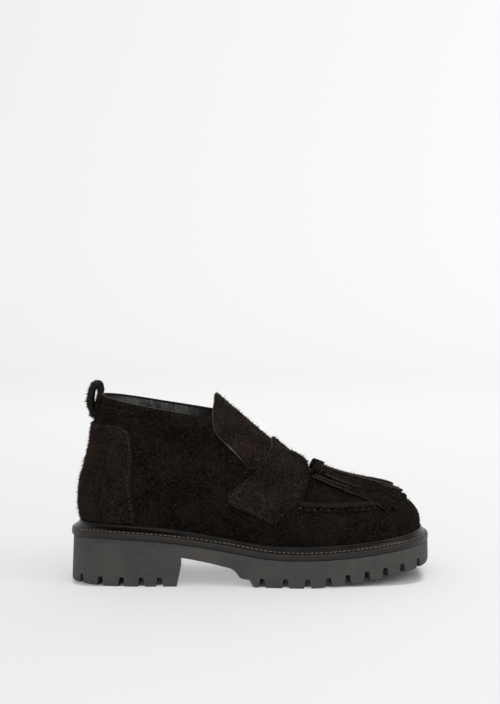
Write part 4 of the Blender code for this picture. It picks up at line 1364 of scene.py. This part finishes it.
# %% [markdown]
# ## Stitches
#
# A stitch is a short bulge of thread that dips into the leather at both ends. One Geometry Nodes tree sets
# them along any path: the path is cut into even steps, a small ellipsoid is placed on each and turned to
# follow the path, and a seeded random number makes each a little different. The result is turned into a
# plain mesh.

# %% A Geometry Nodes tree, written node by node
class Tree:
    """A tree with named inputs that sets one small shape on many points."""

    def __init__(self, name, inputs):
        self.tree = bpy.data.node_groups.new(name, "GeometryNodeTree")
        for title, kind in {"Geometry": "Geometry", **inputs, "Seed": "Int", "Material": "Material"}.items():
            self.tree.interface.new_socket(title, in_out="INPUT", socket_type="NodeSocket" + kind)
        self.tree.interface.new_socket("Geometry", in_out="OUTPUT", socket_type="NodeSocketGeometry")
        self.given = self.tree.nodes.new("NodeGroupInput").outputs

    def add(self, kind, links, **settings):
        """Adds a node with its settings, and values or links for its sockets, and gives its outputs."""
        made = self.tree.nodes.new(kind)
        for name, value in settings.items():
            setattr(made, name, value)
        for slot, value in links.items():
            if hasattr(value, "links"):
                self.tree.links.new(value, made.inputs[slot])
            else:
                made.inputs[slot].default_value = value
        return made.outputs

    def set_on(self, points, shape, turned, scale, smooth):
        """Sets the shape on the points, makes it real and gives it the material."""
        links = {"Points": points, "Instance": shape, "Rotation": turned, "Scale": scale}
        placed = self.add("GeometryNodeInstanceOnPoints", links)["Instances"]
        real = self.add("GeometryNodeRealizeInstances", {"Geometry": placed})["Geometry"]
        if smooth:
            real = self.add("GeometryNodeSetShadeSmooth", {"Geometry": real})["Geometry"]
        links = {"Geometry": real, "Material": self.given["Material"]}
        dyed = self.add("GeometryNodeSetMaterial", links)["Geometry"]
        self.tree.links.new(dyed, self.tree.nodes.new("NodeGroupOutput").inputs[0])

    def run(self, made, values):
        """Runs the tree on an object's mesh, which becomes the plain result."""
        modifier = made.modifiers.new("tree", "NODES")
        modifier.node_group = self.tree
        for item in self.tree.interface.items_tree:
            if item.in_out == "INPUT" and item.name in values:
                modifier[item.identifier] = values[item.name]
        bake_modifiers(made)
        print(made.name, len(made.data.polygons), "faces")


# %% The stitch tree
stitching = Tree("stitch row", {"Pitch": "Float", "Stitch length": "Float", "Thread thickness": "Float"})
given = stitching.given
path = stitching.add("GeometryNodeMeshToCurve", {"Mesh": given["Geometry"]})
links = {"Curve": path["Curve"], "Length": given["Pitch"]}
spots = stitching.add("GeometryNodeCurveToPoints", links, mode="LENGTH")
size = stitching.add("FunctionNodeRandomValue", {2: 0.85, 3: 1.12, "Seed": given["Seed"]})
turned = stitching.add("FunctionNodeAlignRotationToVector", {"Vector": spots["Tangent"]}, axis="X")
ball = stitching.add("GeometryNodeMeshIcoSphere", {"Radius": 0.5, "Subdivisions": 2})
links = {"X": given["Stitch length"], "Y": given["Thread thickness"], "Z": given["Thread thickness"]}
shape = stitching.add("ShaderNodeCombineXYZ", links)
grown = stitching.add("ShaderNodeVectorMath", {0: shape[0], "Scale": size[1]}, operation="SCALE")
stitching.set_on(spots["Points"], ball["Mesh"], turned["Rotation"], grown[0], True)

# %% A row of stitches
def stitch_row(name, paths, pitch, length, thickness, look, closed=False):
    """Stitches along one or more paths, given in millimetres."""
    points, edges = [], []
    for path in paths:
        start = len(points)
        points += (np.asarray(path) / 1000).tolist()
        edges += [(start + i, start + i + 1) for i in range(len(path) - 1)]
        if closed:
            edges.append((start + len(path) - 1, start))
    mesh = bpy.data.meshes.new(name)
    mesh.from_pydata(points, edges, [])
    values = {"Pitch": pitch / 1000, "Stitch length": length / 1000, "Thread thickness": thickness / 1000}
    made = linked(name, mesh)
    stitching.run(made, values | {"Seed": 7, "Material": look})
    ride(made)


# %% [markdown]
# The rows: round the welt, in the channel under the apron's roll, along the strap's ends, down the front
# edge of the counter, under the collar and round the heads of the tassels.

# %% Stitches of the welt and the apron
stitch_row("welt_stitches", [welt_path], 3.5, 2.7, 0.85, thread, closed=True)

around_toe = np.linspace(0.30, 0.70, 400)
channel = SEAM - 0.95 / pace(around_toe)
channel_path = upper_point(around_toe, channel, -apron(around_toe, channel) - 0.25)
channel_path = channel_path[channel_path[:, 0] > 0.135 * BED_LENGTH]
stitch_row("apron_stitches", [channel_path], 5.4, 3.2, 0.8, dark_thread)

# %% Stitches of the strap and the counter
def row_on_panel(outline_places, bottom, thickness, inset, keep):
    """Lines set in from a panel's edge, where keep(x, y, z) holds."""
    places = moved_in(outline_places, lambda t, r: bottom(t, r) + thickness, inset)
    spots = lifted(places, lambda t, r: bottom(t, r) + thickness + 0.02)
    kept = keep(*spots.T)
    first = int(np.flatnonzero(~kept)[0])
    kept, spots = np.roll(kept, -first), np.roll(spots, -first, axis=0)
    changes = np.flatnonzero(np.diff(np.concatenate([kept, [False]]).astype(int)))
    runs = [spots[start + 1 : end + 1] for start, end in zip(changes[::2], changes[1::2])]
    return [run for run in runs if len(run) > 3]


def strap_end(x, y, z):
    return (z < 0.285 * BED_LENGTH) & (x < 24)


def counter_front(x, y, z):
    return (np.abs(y) > 16) & (z > 52)


strap_runs = row_on_panel(strap_line, strap_floor, STRAP_THICKNESS, 2.1, strap_end)
stitch_row("strap_stitches", strap_runs, 2.9, 1.9, 0.5, dark_thread)
counter_runs = row_on_panel(counter_line, on_upper, COUNTER_THICKNESS, 1.6, counter_front)
stitch_row("counter_stitches", counter_runs, 2.9, 1.9, 0.45, dark_thread)

# %% Stitches of the collar and the tassels' heads
back = np.linspace(-0.17, 0.17, 160)
off_surface = soft_waves(surface(back, 0.955 + 0 * back)) * 0.3 + 0.1
back_path = upper_point(back, 0.958 - 0.05 * np.abs(back), -off_surface)
stitch_row("collar_stitches", [back_path[:62], back_path[98:]], 2.7, 1.7, 0.45, dark_thread)
stitch_row("tassel_stitches", head_stitches, 2.2, 1.5, 0.55, dark_thread, closed=True)

# %% [markdown]
# ## The nap
#
# The bump in the suede's material gives the short pile, but it can't break the outline. On the real shoe
# single fibres and small tufts stand off, most of all along edges and seen against the light. A second tree
# scatters them: points on the suede's faces, a thin three-sided spike on each, combed down and back with
# some scatter.

# %% The nap tree
sizes = ("Fibres per square metre", "Fibre length", "Fibre thickness", "Scatter")
napping = Tree("nap", {**dict.fromkeys(sizes, "Float"), "Combed towards": "Vector"})
given = napping.given
links = {"Mesh": given["Geometry"], "Density": given["Fibres per square metre"], "Seed": given["Seed"]}
spots = napping.add("GeometryNodeDistributePointsOnFaces", links)
limits = {0: (-1, -1, -1), 1: (1, 1, 1), "Seed": 3}
loose = napping.add("FunctionNodeRandomValue", limits, data_type="FLOAT_VECTOR")
loose = napping.add("ShaderNodeVectorMath", {0: loose[0], "Scale": given["Scatter"]}, operation="SCALE")
links = {0: spots["Normal"], 1: given["Combed towards"]}
leant = napping.add("ShaderNodeVectorMath", links, operation="ADD")
aim = napping.add("ShaderNodeVectorMath", {0: leant[0], 1: loose[0]}, operation="ADD")
turned = napping.add("FunctionNodeAlignRotationToVector", {"Vector": aim[0]}, axis="Z")
size = napping.add("FunctionNodeRandomValue", {2: 0.25, 3: 1.0, "Seed": 5})
size = napping.add("ShaderNodeMath", {0: size[1], 1: size[1]}, operation="MULTIPLY")
tall = napping.add("ShaderNodeMath", {0: size[0], 1: given["Fibre length"]}, operation="MULTIPLY")
links = {"X": given["Fibre thickness"], "Y": given["Fibre thickness"], "Z": tall[0]}
shape = napping.add("ShaderNodeCombineXYZ", links)
settings = {"Vertices": 3, "Radius Top": 0.0, "Radius Bottom": 0.5, "Depth": 1.0}
spike = napping.add("GeometryNodeMeshCone", settings, fill_type="NONE")
napping.set_on(spots["Points"], spike["Mesh"], turned["Rotation"], shape[0], False)

# %% Fibres on one piece
look = Look("fibre", 0.95, Specular_IOR_Level=0.03)
tint = look.noise(600.0, 2.0).between(0.35, 0.65)
fibre = look.finish(Base_Color=look.mix(tint, (0.0035, 0.0024, 0.0017, 1), (0.038, 0.027, 0.020, 1)))


def nap_on(source, name, per_mm2, length, thickness, comb, seed, scatter):
    """Fibres on the faces of a piece that use its first look."""

    def keep_first_look(shape):
        other = [face for face in shape.faces if face.material_index != 0]
        bmesh.ops.delete(shape, geom=other, context="FACES")

    mesh = source.data.copy()
    reshape(mesh, keep_first_look)
    values = {"Fibres per square metre": per_mm2 * 1e6, "Fibre length": length / 1000}
    values |= {"Fibre thickness": thickness / 1000, "Scatter": scatter, "Combed towards": comb}
    made = linked(name, mesh)
    napping.run(made, values | {"Seed": seed, "Material": fibre})
    ride(made)


# %% Fibres on every suede piece
COATS = [
    (upper, "upper", "suede", 1.0, (-0.5, 0.0, -0.9)),
    (counter, "counter", "suede", 1.2, (-0.4, 0.0, -0.8)),
    (flap, "flap", "suede", 1.3, (0.5, 0.0, -0.6)),
    (strap, "strap", "suede", 1.3, (0.4, 0.0, -0.6)),
    (tie, "tie", "suede", 1.6, (0.5, 0.0, -0.2)),
    (loop, "loop", "suede", 1.4, (0.0, 0.0, -0.6)),
]
for tassel in ("tassel_outer", "tassel_inner"):
    COATS.append((bpy.data.objects[tassel + "_strips"], tassel, "suede_tassel", 1.2, (0.6, 0.0, -0.2)))
for number, (source, name, slot, crowd, comb) in enumerate(COATS):
    nap_on(source, name + "_nap", 0.62 * crowd, 1.4, 0.22, comb, number, 0.55)
    nap_on(source, name + "_tufts", 0.20 * crowd, 3.6, 0.55, comb, number + 20, 0.9)
